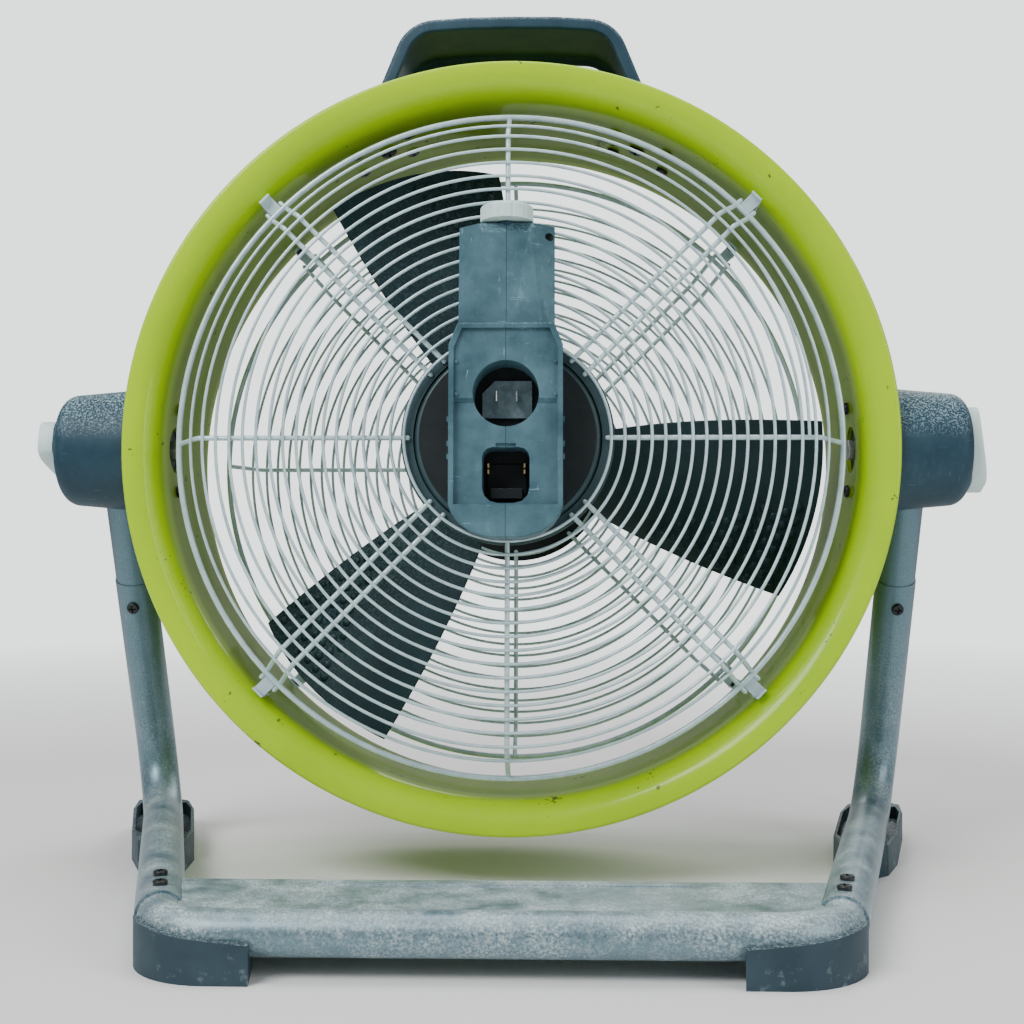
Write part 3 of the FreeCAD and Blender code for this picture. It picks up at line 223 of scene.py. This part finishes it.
def drumPaint():
    # Gloss lime paint; the barrel's inside is painted darker with depth behind the near flare, as painted
    # shade.
    f = Finish("drum_paint", coat=0.3, coatRoughness=0.06, specular=0.2)
    place = f.headCoords()
    cloud = f.noise(place, 9, 4)
    base = f.mix(f.ramp(cloud, (0.3, 0.0), (0.7, 1.0)), (0.36, 0.60, 0.0), (0.43, 0.68, 0.0))
    depth = f.axis(place, "Y") * 5.0 + 0.5
    radius = f.node("ShaderNodeVectorMath", {"operation": "LENGTH"},
                    {0: f.node("ShaderNodeVectorMath", {"operation": "MULTIPLY"},
                               {0: place, 1: (1.0, 0.0, 1.0)})}, out="Value")
    # Painted shade: this mask is 1 on the barrel's inner wall, from behind the near flare to near the far
    # end.
    inside = f.ramp((radius - 0.2) * 20.0, (0.62, 1.0), (0.72, 0.0)) * \
        f.ramp(depth, (0.30, 0.0), (0.42, 1.0), (0.92, 1.0), (1.0, 0.2))
    # Painted shade: the barrel's inside is mixed toward dark olive, and streaky noise varies its strength.
    painted_shade_streak = f.noise(place, 24, 5, 0.6, (1, 0.25, 1))
    base = f.mix(inside * (0.62 + painted_shade_streak * 0.3), base, (0.085, 0.135, 0.0))
    chips = f.ramp(f.noise(place, 260, 2) * 0.45 + f.noise(place, 38, 3) * 0.55, (0.655, 0.0), (0.67, 1.0))
    dust = f.ramp(f.noise(place, 120, 6, 0.7), (0.56, 0.0), (0.75, 1.0)) * f.upward()
    colour = f.mix(dust * 0.07, base, (0.6, 0.66, 0.45))
    colour = f.mix(chips * 0.85, colour, (0.045, 0.06, 0.02))
    rough = 0.24 + dust * 0.2 + f.noise(place, 50) * 0.08 + chips * 0.4 + inside * 0.25
    height = f.noise(place, 300, 2) * 0.5 - chips * 0.6
    return f.feed(colour=colour, roughness=rough, bump=f.bump(height, 0.00015, 0.35))


def mouldedPlastic(name, dark, pale, grain=1500, scuffs=0.5, dusty=0.6, patch=26):
    # Grained moulding: cloudy handling marks, long thin scratches, and dust in the grain of upper faces.
    f = Finish(name, specular=0.28)
    place = f.headCoords()
    cloud = f.noise(place, patch, 6, 0.62)
    colour = f.mix(f.ramp(cloud, (0.34, 0.0), (0.66, 1.0)), dark, pale)
    grainy = f.noise(place, grain, 2, 0.6)
    bright = tuple(min(1, c * 2.4 + 0.05) for c in pale)
    smear = f.ramp(f.noise(place, 46, 7, 0.74, (1, 1, 0.5)), (0.55, 0.0), (0.70, 1.0)) * \
        f.ramp(f.noise(place, 15, 3), (0.46, 0.0), (0.60, 1.0))
    scratch = f.ramp(f.noise(place, 44, 4, 0.7, (1, 1, 11)), (0.655, 0.0), (0.69, 1.0)) + \
        f.ramp(f.noise(place, 38, 4, 0.7, (13, 1, 2)), (0.665, 0.0), (0.70, 1.0))
    nicks = f.ramp(f.noise(place, 330, 4, 0.7), (0.70, 0.0), (0.74, 1.0))
    specks = f.ramp(f.noise(place, grain * 0.62, 2, 0.7), (0.51, 0.0), (0.60, 1.0)) * f.upward()
    colour = f.mix(smear * scuffs * 0.55, colour, bright)
    colour = f.mix((scratch * 0.6 + nicks * 0.5) * scuffs, colour, bright)
    colour = f.mix(specks * dusty, colour, (0.42, 0.58, 0.64))
    rough = 0.44 + grainy * 0.16 + specks * 0.15 + smear * 0.12
    return f.feed(colour=colour, roughness=rough, bump=f.bump(grainy, 0.00016, 0.5))


def coatedWire():
    # Pale coated wire, worn in patches, with small dark spots.
    f = Finish("guard_wire", metallic=0.25, coat=0.3, coatRoughness=0.2)
    place = f.headCoords()
    worn = f.ramp(f.noise(place, 90, 4, 0.6), (0.40, 0.0), (0.75, 1.0))
    spots = f.ramp(f.noise(place, 520, 3, 0.7), (0.66, 0.0), (0.74, 1.0))
    colour = f.mix(worn, (0.60, 0.76, 0.80), (0.40, 0.54, 0.58))
    colour = f.mix(spots * 0.5, colour, (0.18, 0.22, 0.22))
    return f.feed(colour=colour, roughness=0.30 + worn * 0.18, bump=f.bump(worn, 0.00008, 0.4))


def tubePaint(name, base, pale, dusty):
    # Satin metallic powder coat with dust that gathers on the upper sides.
    f = Finish(name, coat=0.15, coatRoughness=0.35)
    place = f.coords()
    flake = f.noise(place, 2600, 1, 0.5)
    colour = f.mix(f.ramp(flake, (0.35, 0.0), (0.7, 1.0)), base, pale)
    low = f.ramp(f.axis(place, "Z") * 4.0, (0.15, 1.0), (0.75, 0.0))
    fine = f.ramp(f.noise(place, 620, 6, 0.75), (0.44, 0.0), (0.64, 1.0))
    patches = f.ramp(f.noise(place, 34, 6, 0.62), (0.32, 0.0), (0.66, 1.0))
    dust = fine * patches * low * dusty + patches * low * f.upward() * (dusty * 0.45)
    colour = f.mix(dust, colour, (0.56, 0.66, 0.68))
    scratch = f.ramp(f.noise(place, 40, 4, 0.7, (9, 1, 1)), (0.66, 0.0), (0.71, 1.0))
    colour = f.mix(scratch * 0.35, colour, (0.6, 0.68, 0.7))
    height = flake * 0.3 + dust * 0.7
    return f.feed(colour=colour, roughness=0.34 + dust * 0.4, metallic=0.55 - dust * 0.5,
                  bump=f.bump(height, 0.00012, 0.5))


def footRubber():
    # Matt moulded shoe, scuffed most near the floor, with dust on its upper faces.
    f = Finish("foot_rubber", specular=0.35)
    place = f.coords()
    cloud = f.noise(place, 30, 5)
    colour = f.mix(f.ramp(cloud, (0.3, 0.0), (0.7, 1.0)), (0.014, 0.036, 0.052), (0.032, 0.062, 0.082))
    scuff = f.ramp(f.noise(place, 75, 6, 0.72), (0.56, 0.0), (0.68, 1.0))
    edge = f.ramp(f.axis(place, "Z") * 20.0, (0.05, 1.0), (0.35, 0.0))
    dust = f.ramp(f.noise(place, 700, 5, 0.75), (0.50, 0.0), (0.66, 1.0)) * f.upward()
    colour = f.mix(scuff * (0.25 + edge * 0.5), colour, (0.22, 0.28, 0.30))
    colour = f.mix(dust * 0.75, colour, (0.50, 0.60, 0.62))
    return f.feed(colour=colour, roughness=0.58 + scuff * 0.2,
                  bump=f.bump(f.noise(place, 900, 2), 0.0002, 0.4))


def plainFinish(name, first, second, roughness, metallic=0.0, scale=60, grain=900, depth=0.00006, coat=0.0):
    # Small pieces: two close tones in patches, fine grain and uneven gloss.
    f = Finish(name, metallic=metallic, coat=coat)
    place = f.headCoords()
    cloud = f.ramp(f.noise(place, scale, 5, 0.6), (0.34, 0.0), (0.66, 1.0))
    fine = f.noise(place, grain, 3, 0.6)
    colour = f.mix(cloud, first, second)
    return f.feed(colour=colour, roughness=roughness - 0.06 + fine * 0.16 + cloud * 0.05,
                  bump=f.bump(fine, depth, 0.5))


def floorFinish():
    f = Finish("floor", specular=0.2)
    place = f.coords()
    shade = f.mix(f.noise(place, 3, 4), (0.80, 0.80, 0.79), (0.83, 0.83, 0.82))
    # The floor fades into the backdrop with its distance from the object.
    far = f.node("ShaderNodeVectorMath", {"operation": "LENGTH"}, {0: place}, out="Value")
    fade = f.ramp(far * 0.25, (0.16, 1.0), (0.5, 0.0))
    return f.feed(colour=shade, roughness=0.75 + f.noise(place, 40) * 0.1, alpha=fade)


finishes = {
    "drum_paint": drumPaint(),
    "dark_plastic": mouldedPlastic("dark_plastic", (0.010, 0.038, 0.062), (0.022, 0.062, 0.092),
                                   grain=1300, scuffs=0.45, dusty=0.9),
    "dock_plastic": mouldedPlastic("dock_plastic", (0.030, 0.085, 0.112), (0.085, 0.175, 0.215),
                                   grain=1300, scuffs=0.9, dusty=0.5, patch=34),
    "impeller_plastic": mouldedPlastic("impeller_plastic", (0.004, 0.020, 0.028), (0.012, 0.038, 0.048),
                                       grain=900, scuffs=0.3, dusty=0.25),
    "black_plastic": mouldedPlastic("black_plastic", (0.006, 0.010, 0.012), (0.014, 0.020, 0.022),
                                    grain=1400, scuffs=0.2, dusty=0.3),
    "guard_wire": coatedWire(),
    "leg_paint": tubePaint("leg_paint", (0.075, 0.145, 0.185), (0.15, 0.245, 0.295), 0.7),
    "base_paint": tubePaint("base_paint", (0.09, 0.165, 0.205), (0.17, 0.265, 0.31), 0.95),
    "foot_rubber": footRubber(),
    "black_screw": plainFinish("black_screw", (0.012, 0.014, 0.016), (0.03, 0.034, 0.036), 0.35, 0.4),
    "zinc_steel": plainFinish("zinc_steel", (0.42, 0.44, 0.45), (0.58, 0.60, 0.60), 0.32, 1.0),
    "motor_paint": plainFinish("motor_paint", (0.022, 0.058, 0.068), (0.036, 0.080, 0.092), 0.42, 0.1,
                               coat=0.1),
    "bearing_steel": plainFinish("bearing_steel", (0.45, 0.46, 0.47), (0.6, 0.6, 0.6), 0.2, 1.0),
    "core_steel": plainFinish("core_steel", (0.22, 0.23, 0.24), (0.32, 0.33, 0.33), 0.42, 0.9),
    "coil_copper": plainFinish("coil_copper", (0.50, 0.20, 0.08), (0.66, 0.30, 0.14), 0.3, 0.9),
    "inlet_grey": plainFinish("inlet_grey", (0.16, 0.24, 0.27), (0.30, 0.40, 0.43), 0.55,
                              scale=260, grain=1300, depth=0.0002),
    "nickel": plainFinish("nickel", (0.72, 0.74, 0.74), (0.86, 0.87, 0.86), 0.14, 1.0),
    "brass": plainFinish("brass", (0.62, 0.48, 0.20), (0.76, 0.62, 0.34), 0.22, 1.0),
    "board_green": plainFinish("board_green", (0.01, 0.10, 0.035), (0.02, 0.16, 0.06), 0.35),
    "knob_plastic": plainFinish("knob_plastic", (0.55, 0.74, 0.71), (0.66, 0.83, 0.80), 0.42,
                                scale=40, grain=1200, depth=0.00008),
    "washer_plastic": plainFinish("washer_plastic", (0.02, 0.02, 0.02), (0.04, 0.04, 0.04), 0.4),
}
print("finishes made:", len(finishes))


bodyOf = {node: body for body, nodes in frame["record"]["behaviour"]["bodies"].items() for node in nodes}
slotOf = {row["node"]: row["material_slot"] for row in frame["record"]["subparts"]}


def gridFaces(rows, columns, closeRows, closeColumns, first):
    # Four-sided faces of a grid of points, as point numbers.
    i = np.arange(rows if closeRows else rows - 1)
    j = np.arange(columns if closeColumns else columns - 1)
    i, j = np.meshgrid(i, j, indexing="ij")
    onI, onJ = (i + 1) % rows, (j + 1) % columns
    quads = np.stack([i * columns + j, onI * columns + j, onI * columns + onJ, i * columns + onJ], -1)
    return quads.reshape(-1, 4) + first


def makePiece(name, grids, body, finish, replaced=(), sharp=35):
    # One mesh from several grids, each (points, rows closed, columns closed), in metres.
    spots, faces, first = [], [], 0
    for points, closeRows, closeColumns in grids:
        rows, columns = points.shape[:2]
        spots.append(points.reshape(-1, 3))
        faces.append(gridFaces(rows, columns, closeRows, closeColumns, first))
        first += rows * columns
    spots, faces = np.concatenate(spots), np.concatenate(faces)
    mesh = bpy.data.meshes.new(name)
    mesh.from_pydata(spots.tolist(), [], faces.tolist())
    shape = bmesh.new()
    shape.from_mesh(mesh)
    bmesh.ops.remove_doubles(shape, verts=shape.verts, dist=2e-6)
    bmesh.ops.recalc_face_normals(shape, faces=shape.faces)
    shape.to_mesh(mesh)
    shape.free()
    return finishPiece(name, mesh, body, finish, replaced, sharp)


def finishPiece(name, mesh, body, finish, replaced, sharp):
    mesh.polygons.foreach_set("use_smooth", np.ones(len(mesh.polygons), bool))
    mesh.set_sharp_from_angle(angle=math.radians(sharp))
    mesh.materials.clear()
    mesh.materials.append(finishes[finish])
    piece = bpy.data.objects.new(name, mesh)
    bpy.context.collection.objects.link(piece)
    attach(piece, body)
    if replaced:
        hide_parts(*replaced)
    return piece


def notFlat(face):
    # True where a corner stands off the face's own plane by more than the setup allows.
    spots = np.array([corner.co[:] for corner in face.verts])
    spots -= spots.mean(0)
    return np.abs(spots @ np.linalg.svd(spots)[2][2]).max() > fineSetup["offPlane"]


fineSetup = {"flat": 1.0, "angle": 28, "segments": 2, "sliver": 1e-5, "offPlane": 3e-5}


def refine(node, width, finish=None):
    # A copy of a CAD node with clean faces and small rounded edges.
    mesh = frame["nodes"][node].data.copy()
    mesh.transform(frame["nodes"][node].matrix_world)
    shape = bmesh.new()
    shape.from_mesh(mesh)
    bmesh.ops.remove_doubles(shape, verts=shape.verts, dist=2e-6)
    bmesh.ops.dissolve_degenerate(shape, dist=fineSetup["sliver"], edges=shape.edges)
    bmesh.ops.dissolve_limit(shape, angle_limit=math.radians(fineSetup["flat"]), verts=shape.verts,
                             edges=shape.edges)
    bent = [face for face in shape.faces if len(face.verts) > 4 and notFlat(face)]
    bmesh.ops.triangulate(shape, faces=bent, quad_method="BEAUTY", ngon_method="BEAUTY")
    shape.to_mesh(mesh)
    shape.free()
    piece = finishPiece(node + "_fine", mesh, bodyOf[node], finish or slotOf[node], (node,),
                        fineSetup["angle"])
    bevel = piece.modifiers.new("edges", "BEVEL")
    bevel.width = width / 1000
    bevel.segments = fineSetup["segments"]
    bevel.limit_method = "ANGLE"
    bevel.angle_limit = math.radians(fineSetup["angle"])
    bevel.use_clamp_overlap = True
    bevel.loop_slide = False
    bevel.harden_normals = True


def roundedPath(corners, pieces=8):
    # Straight runs between corners; each corner (x, z, radius) is turned by an arc of its radius.
    spots = np.array([corner[:2] for corner in corners], float)
    line = [spots[:1]]
    for before, corner, after, radius in zip(spots, spots[1:], spots[2:], [c[2] for c in corners[1:-1]]):
        back = (before - corner) / np.linalg.norm(before - corner)
        on = (after - corner) / np.linalg.norm(after - corner)
        half = math.acos(np.clip(back @ on, -1, 1)) / 2
        centre = corner + (back + on) / np.linalg.norm(back + on) * radius / math.sin(half)
        start = corner + back * radius / math.tan(half) - centre
        way = -np.sign(back[0] * on[1] - back[1] * on[0])
        turn = way * np.linspace(0, math.pi - 2 * half, pieces + 1)
        arc = np.stack([start[0] * np.cos(turn) - start[1] * np.sin(turn),
                        start[0] * np.sin(turn) + start[1] * np.cos(turn)], -1)
        line.append(centre + arc)
    line.append(spots[-1:])
    return np.concatenate(line)


def resample(line, step):
    # Points a step apart along a line.
    gaps = np.linalg.norm(np.diff(line, axis=0), axis=1)
    along = np.concatenate([[0], np.cumsum(gaps)])
    places = np.linspace(0, along[-1], max(2, int(along[-1] / step)))
    return np.stack([np.interp(places, along, line[:, k]) for k in range(line.shape[1])], -1)


def sweepFlat(path, section, axisY):
    # A closed section (across, outward) carried along a path in the XZ plane; outward is the path's left.
    way = np.gradient(path, axis=0)
    way /= np.linalg.norm(way, axis=1)[:, None]
    normal = np.stack([-way[:, 1], way[:, 0]], -1)
    x = path[:, None, 0] + normal[:, None, 0] * section[None, :, 1]
    z = path[:, None, 1] + normal[:, None, 1] * section[None, :, 1]
    y = np.broadcast_to(axisY + section[None, :, 0], x.shape)
    return np.stack([x, y, z], -1)


bumpSetup = {"radius": 3.6, "rise": 2.6, "pitch": 8.8, "from": 112, "to": 207,
             "blades": (109.6, 229.6, 349.6),
             "rows": 24, "rowShare": 0.87, "edge": 4.6, "firstAcross": 30, "gain": 37.2, "lastAcross": 70,
             "steepest": 0.45, "above": -20, "sink": 0.0002}


def lookDown(tree, radius, angle):
    # Where a line along the air's way, at a radius and angle about the axis, meets the impeller.
    start = fromHead([radius * math.cos(angle), bumpSetup["above"], radius * math.sin(angle)])
    return tree.ray_cast(Vector(start), Vector(airWay), 0.2)[:2]


def makeBumps():
    # Domes on a slanted grid over the trailing corner of each blade, set on the blade's own surface.
    cad = frame["nodes"]["impeller"]
    corners = [cad.matrix_world @ corner.co for corner in cad.data.vertices]
    tree = BVHTree.FromPolygons(corners, [face.vertices[:] for face in cad.data.polygons])
    down = Vector(airWay)
    u, v = np.meshgrid(np.linspace(0, math.pi / 2, 5), np.linspace(0, 2 * math.pi, 12, endpoint=False),
                       indexing="ij")
    dome = np.stack([np.cos(v) * np.cos(u), np.sin(v) * np.cos(u), np.sin(u)], -1)
    grids = []
    setup = bumpSetup
    pitch = setup["pitch"]
    for phase in setup["blades"]:
        for row in range(setup["rows"]):
            for column in range(setup["rows"]):
                across = (column - setup["rows"] // 2 + 0.5 * (row % 2)) * pitch
                radius = setup["from"] + row * pitch * setup["rowShare"]
                angle = math.radians(phase) - across / radius
                share = (radius - setup["from"]) / (setup["to"] - setup["from"])
                least = setup["firstAcross"] - setup["gain"] * share
                if radius > setup["to"] or not least <= across <= setup["lastAcross"]:
                    continue
                spot, normal = lookDown(tree, radius, angle)
                turn = setup["edge"] / radius
                edge = [lookDown(tree, radius, angle + side * turn)[0] for side in (-1, 1)]
                if spot is None or None in edge:
                    continue
                if normal.dot(down) > 0:
                    normal = -normal
                if normal.dot(down) > -setup["steepest"]:
                    continue
                turn = np.array(normal.to_track_quat("Z", "Y").to_matrix())
                scale = np.array([setup["radius"], setup["radius"], setup["rise"]]) / 1000
                points = (dome * scale) @ turn.T + np.array(spot) - np.array(normal) * setup["sink"]
                grids.append((points, False, True))
    return makePiece("blade_bumps", grids, "impeller", "impeller_plastic", sharp=80)


handleSetup = {"side": (98.6, 212.1), "shoulder": (68, 288.6), "crown": 291.4, "deep": 35, "centre": 15,
               "band": 8.6, "skin": 3.6, "foot": (58.6, 73.4), "footThick": 4.5, "drumOut": 232.6}


def makeHandle():
    # A channel section carried over a rounded arch, and two saddles of the drum's radius.
    s = handleSetup
    sideX, sideZ = s["side"]
    topX, topZ = s["shoulder"]
    crown = s["crown"]
    right = [(sideX, sideZ, 0), (topX, topZ, 24), (30, crown - 0.4, 120), (0, crown, 0)]
    half = roundedPath(right, 12)
    mirror = half[::-1] * np.array([-1, 1])
    path = resample(np.concatenate([half, mirror[1:]]), 3.0)[::-1]
    deep, band, skin = s["deep"], s["band"] / 2, s["skin"]
    outside = [(-deep + 1, -band, 0), (-deep, -band + 1, 1), (-deep, band, 3.4), (-deep + 8, band + 0.5, 8),
               (0, band + 0.9, 60), (deep - 8, band + 0.5, 8), (deep, band, 3.4), (deep, -band + 1, 1),
               (deep - 1, -band, 0)]
    inside = [(deep - 3.2, -band, 0), (deep - 4.4, band - skin, 2.5), (-deep + 4.4, band - skin, 2.5),
              (-deep + 3.2, -band, 0)]
    section = np.concatenate([roundedPath(outside, 6), roundedPath(inside, 4)])
    arch = sweepFlat(path, section, s["centre"])
    grids = [(fromHead(arch), False, True)]
    drumOut = s["drumOut"]
    for sign in (-1, 1):
        angle = np.radians(np.linspace(*s["foot"], 22))
        edge = roundedPath([(-deep + 2, 0, 0), (-deep, 0.6, 0.5), (-deep, s["footThick"], 1.8),
                            (deep, s["footThick"], 1.8), (deep, 0.6, 0.5), (deep - 2, 0, 0)], 5)
        radius = drumOut + edge[:, 1]
        reach = np.ones(len(angle))
        reach[[0, -1]] = 0.0
        reach[[1, -2]] = 0.55
        lift = drumOut + (radius[None, :] - drumOut) * reach[:, None]
        x = sign * lift * np.cos(angle)[:, None]
        z = lift * np.sin(angle)[:, None]
        y = np.broadcast_to(s["centre"] + edge[None, :, 0], x.shape)
        grids.append((fromHead(np.stack([x, y, z], -1)), False, True))
    return makePiece("carry_handle", grids, "head", "dark_plastic", ("handle",), 50)


# Each node's edge width in millimetres, and its finish where that isn't its slot's.
fineNodes = {"ac_inlet_block": (0.5, None), "inlet_prongs": (0.25, None), "speed_knob": (0.5, None),
             "tilt_knob_left": (0.8, None), "tilt_knob_right": (0.8, None),
             "foot_front_left": (1.6, None), "foot_front_right": (1.6, None),
             "foot_rear_left": (1.0, None), "foot_rear_right": (1.0, None),
             "base_deck": (0.6, None), "guard_clips": (0.4, "guard_wire"), "pivot_bolt_left": (0.4, None),
             "pivot_bolt_right": (0.4, None), "battery_terminal_block": (0.4, None),
             "impeller_nut": (0.5, None)}


drumSetup = {"bore": 230, "wall": 2.5, "lip": 253.6, "near": -49, "far": 113, "flare": 20, "back": 6,
             "window": 15.6, "columns": 288, "spare": 4}
guardSetup = {"first": 65.6, "pitch": 8.57, "count": 16, "wire": 1.05, "spoke": 1.6, "face": -74,
              "rim": 216.7, "rimWire": 1.9, "rimBack": 31, "shoulder": 203.4, "twin": 6, "end": 223,
              "farFace": 140, "fade": 42}


def circleSection(radius, count=10):
    # A circle's points: radius times the cosine and sine of equal turns.
    turn = np.linspace(0, 2 * math.pi, count, endpoint=False)
    return radius * np.cos(turn), radius * np.sin(turn)


def aroundAxis(radius, y, angle):
    # Head points at a radius and angle about the air axis: radius cos, y, radius sin.
    x = radius * np.cos(angle)
    z = radius * np.sin(angle)
    return fromHead(np.stack([x, np.broadcast_to(y, x.shape), z], -1))


def windowPatch(radius, half, angle):
    # From a window's round edge out to the square that was left open in the barrel.
    turn = np.linspace(0, 2 * math.pi, 64, endpoint=False)[:, None]
    share = np.linspace(0, 1, 5)[None, :]
    reach = half / np.maximum(np.abs(np.cos(turn)), np.abs(np.sin(turn)))
    out = drumSetup["window"] * (1 - share) + reach * share
    return aroundAxis(radius + 0 * out, out * np.sin(turn), angle + out * np.cos(turn) / radius)


def makeDrum():
    # The shell's profile (radius, y) turned about the air axis: barrel, flares and rolled lips.
    s = drumSetup
    bore, wall, lip, near, far, back = (s[key] for key in ("bore", "wall", "lip", "near", "far", "back"))
    spare = 2 * math.pi * s["spare"] / s["columns"]
    half = bore * spare
    inside = [(bore, half, 0), (bore, -half, 0), (bore, near, s["flare"]), (lip, near, 2.4),
              (lip, near + back, 0.4), (lip - wall, near + back, 0.4), (lip - wall, near + wall, 0.5),
              (bore + wall, near + wall, s["flare"] - wall - 0.8), (bore + wall, -half, 0)]
    first = roundedPath(inside[1:], 10)
    second = roundedPath([(bore, half, 0)] + inside[2:-1] + [(bore + wall, near + far - half, 0)], 10)
    second[0, 1] = near + far - half
    second = second[::-1] * np.array([1, -1]) + np.array([0, near + far])
    angle = np.linspace(0, 2 * math.pi, s["columns"], endpoint=False)[:, None]
    grids = []
    for profile in (first, second):
        grids.append((aroundAxis(profile[None, :, 0] + 0 * angle, profile[None, :, 1], angle), True, False))
    across = np.array([[-half, half]])
    for radius in (bore, bore + wall):
        for start in (0, math.pi):
            steps = s["columns"] // 2 - 2 * s["spare"] + 1
            arc = np.linspace(start + spare, start + math.pi - spare, steps)
            belt = aroundAxis(radius + 0 * arc[:, None] + 0 * across, across, arc[:, None])
            grids.append((belt, False, False))
            grids.append((windowPatch(radius, half, start), True, False))
    for start in (0, math.pi):
        turn = np.linspace(0, 2 * math.pi, 64, endpoint=False)[:, None]
        deep = np.array([[bore, bore + wall]])
        grids.append((aroundAxis(deep + 0 * turn, s["window"] * np.sin(turn),
                                 start + s["window"] * np.cos(turn) / deep), True, False))
    return makePiece("drum_round", grids, "head", "drum_paint", ("drum_shell",), 60)


def sweepRound(path, radius, count=10):
    # A round bar along a path of points, closed with a small dome at each end.
    way = np.gradient(path, axis=0)
    way /= np.linalg.norm(way, axis=1)[:, None]
    side = np.cross(way, [0.0, 1.0, 0.0])
    side /= np.linalg.norm(side, axis=1)[:, None]
    up = np.cross(side, way)
    scale = np.full(len(path), radius)
    for k, share in enumerate((0.0, 0.5, 0.87)):
        scale[k] = scale[-1 - k] = radius * share
    u, v = circleSection(1.0, count)
    ring = side[:, None] * u[None, :, None] + up[:, None] * v[None, :, None]
    return path[:, None] + ring * scale[:, None, None]


def domedEnds(path, radius):
    # Three extra points at each end, where the bar's radius falls to nothing.
    first, last = path[0], path[-1]
    ahead = (path[1] - first) / np.linalg.norm(path[1] - first)
    behind = (path[-2] - last) / np.linalg.norm(path[-2] - last)
    start = [first + ahead * radius * k for k in (0.0, 0.13, 0.5)]
    end = [last + behind * radius * k for k in (0.5, 0.13, 0.0)]
    inner = path[1:-1]
    return np.concatenate([start, [first + ahead * radius], inner, [last + behind * radius], end])


def bentBar(corners, bend, radius, first, across):
    # Corners (out, y) in the plane of a spoke at an angle, moved sideways by a distance.
    line = roundedPath([(corners[0][0], corners[0][1], 0)] + [(u, y, bend) for u, y in corners[1:-1]]
                       + [(corners[-1][0], corners[-1][1], 0)], 5)
    angle = math.radians(first)
    x = line[:, 0] * math.cos(angle) - across * math.sin(angle)
    z = line[:, 0] * math.sin(angle) + across * math.cos(angle)
    return sweepRound(domedEnds(np.stack([x, line[:, 1], z], -1), radius), radius)


def guardGrids():
    s = guardSetup
    face, back, wire, spoke = s["face"], s["face"] + s["rimBack"], s["wire"], s["spoke"]
    turn = np.linspace(0, 2 * math.pi, 144, endpoint=False)[:, None]
    hoops = [(s["first"] + i * s["pitch"], wire, face) for i in range(s["count"])]
    hoops += [(s["shoulder"], wire, face + 8), (s["rim"], s["rimWire"], back)]
    grids = []
    for radius, thick, y in hoops:
        u, v = circleSection(thick, 12 if thick > 1.5 else 8)
        x = (radius + u)[None, :] * np.cos(turn)
        z = (radius + u)[None, :] * np.sin(turn)
        grids.append((np.stack([x, np.broadcast_to(y + v[None, :], x.shape), z], -1), True, True))
    inner = face + wire + spoke - 0.25
    bend, end, start = s["shoulder"] - 6, back + s["rimWire"] + spoke - 0.3, s["first"] - 4
    for angle in (0, 90, 180, 270):
        bar = bentBar([(start, inner), (bend, inner), (s["rim"], end)], 5, spoke, angle, 0)
        grids.append((bar, False, True))
    for angle in (45, 135, 225, 315):
        for way in (-1, 1):
            bar = bentBar([(start, inner), (bend, inner), (s["rim"], end), (s["end"], end)], 3, spoke, angle,
                          way * s["twin"])
            grids.append((bar, False, True))
    return grids


def makeGuards():
    # The outer face ring is the start of a spiral whose end is welded on the spoke at the right.
    s = guardSetup
    near = guardGrids()
    outer = s["first"] + (s["count"] - 1) * s["pitch"]
    turn = np.linspace(0, 1, 40)
    angle = np.radians(s["fade"] * (1 - turn))
    radius = outer - s["pitch"] * 0.5 * np.sin(np.pi / 2 * turn) ** 2
    tail = np.stack([radius * np.cos(angle), np.full(40, s["face"]), radius * np.sin(angle)], -1)
    far = []
    for points, rows, columns in near:
        turned = points * np.array([-1, -1, 1])
        far.append((fromHead(turned + np.array([0, s["farFace"] + s["face"], 0])), rows, columns))
    near.append((sweepRound(domedEnds(tail, s["wire"]), s["wire"], 8), False, True))
    near = [(fromHead(points), rows, columns) for points, rows, columns in near]
    makePiece("intake_wires", near, "head", "guard_wire", ("intake_guard",), 80)
    makePiece("outlet_wires", far, "head", "guard_wire", ("outlet_guard",), 80)


def dressNodes():
    # Each CAD node takes the finish of its slot; the dock's shells have a finish of their own.
    for name, item in frame["nodes"].items():
        finish = finishes[slotOf[name]]
        if name.startswith("dock_shell"):
            finish = finishes["dock_plastic"]
        if not item.material_slots:
            item.data.materials.append(finish)
        for place in item.material_slots:
            place.material = finish


def makeFloor():
    data = bpy.data.meshes.new("floor")
    reach = 6.0
    data.from_pydata([(-reach, -reach, 0), (reach, -reach, 0), (reach, reach, 0), (-reach, reach, 0)], [],
                     [(0, 1, 2, 3)])
    floor = bpy.data.objects.new("floor", data)
    data.materials.append(floorFinish())
    bpy.context.collection.objects.link(floor)


makeCamera()
makeLights()
makeFloor()
dressNodes()
makeDrum()
makeGuards()
makeHandle()
makeBumps()
print("surfaces made: drum, guards, handle, blade bumps")
for node, (width, finish) in fineNodes.items():
    refine(node, width, finish)
print("moulded pieces rounded:", len(fineNodes))
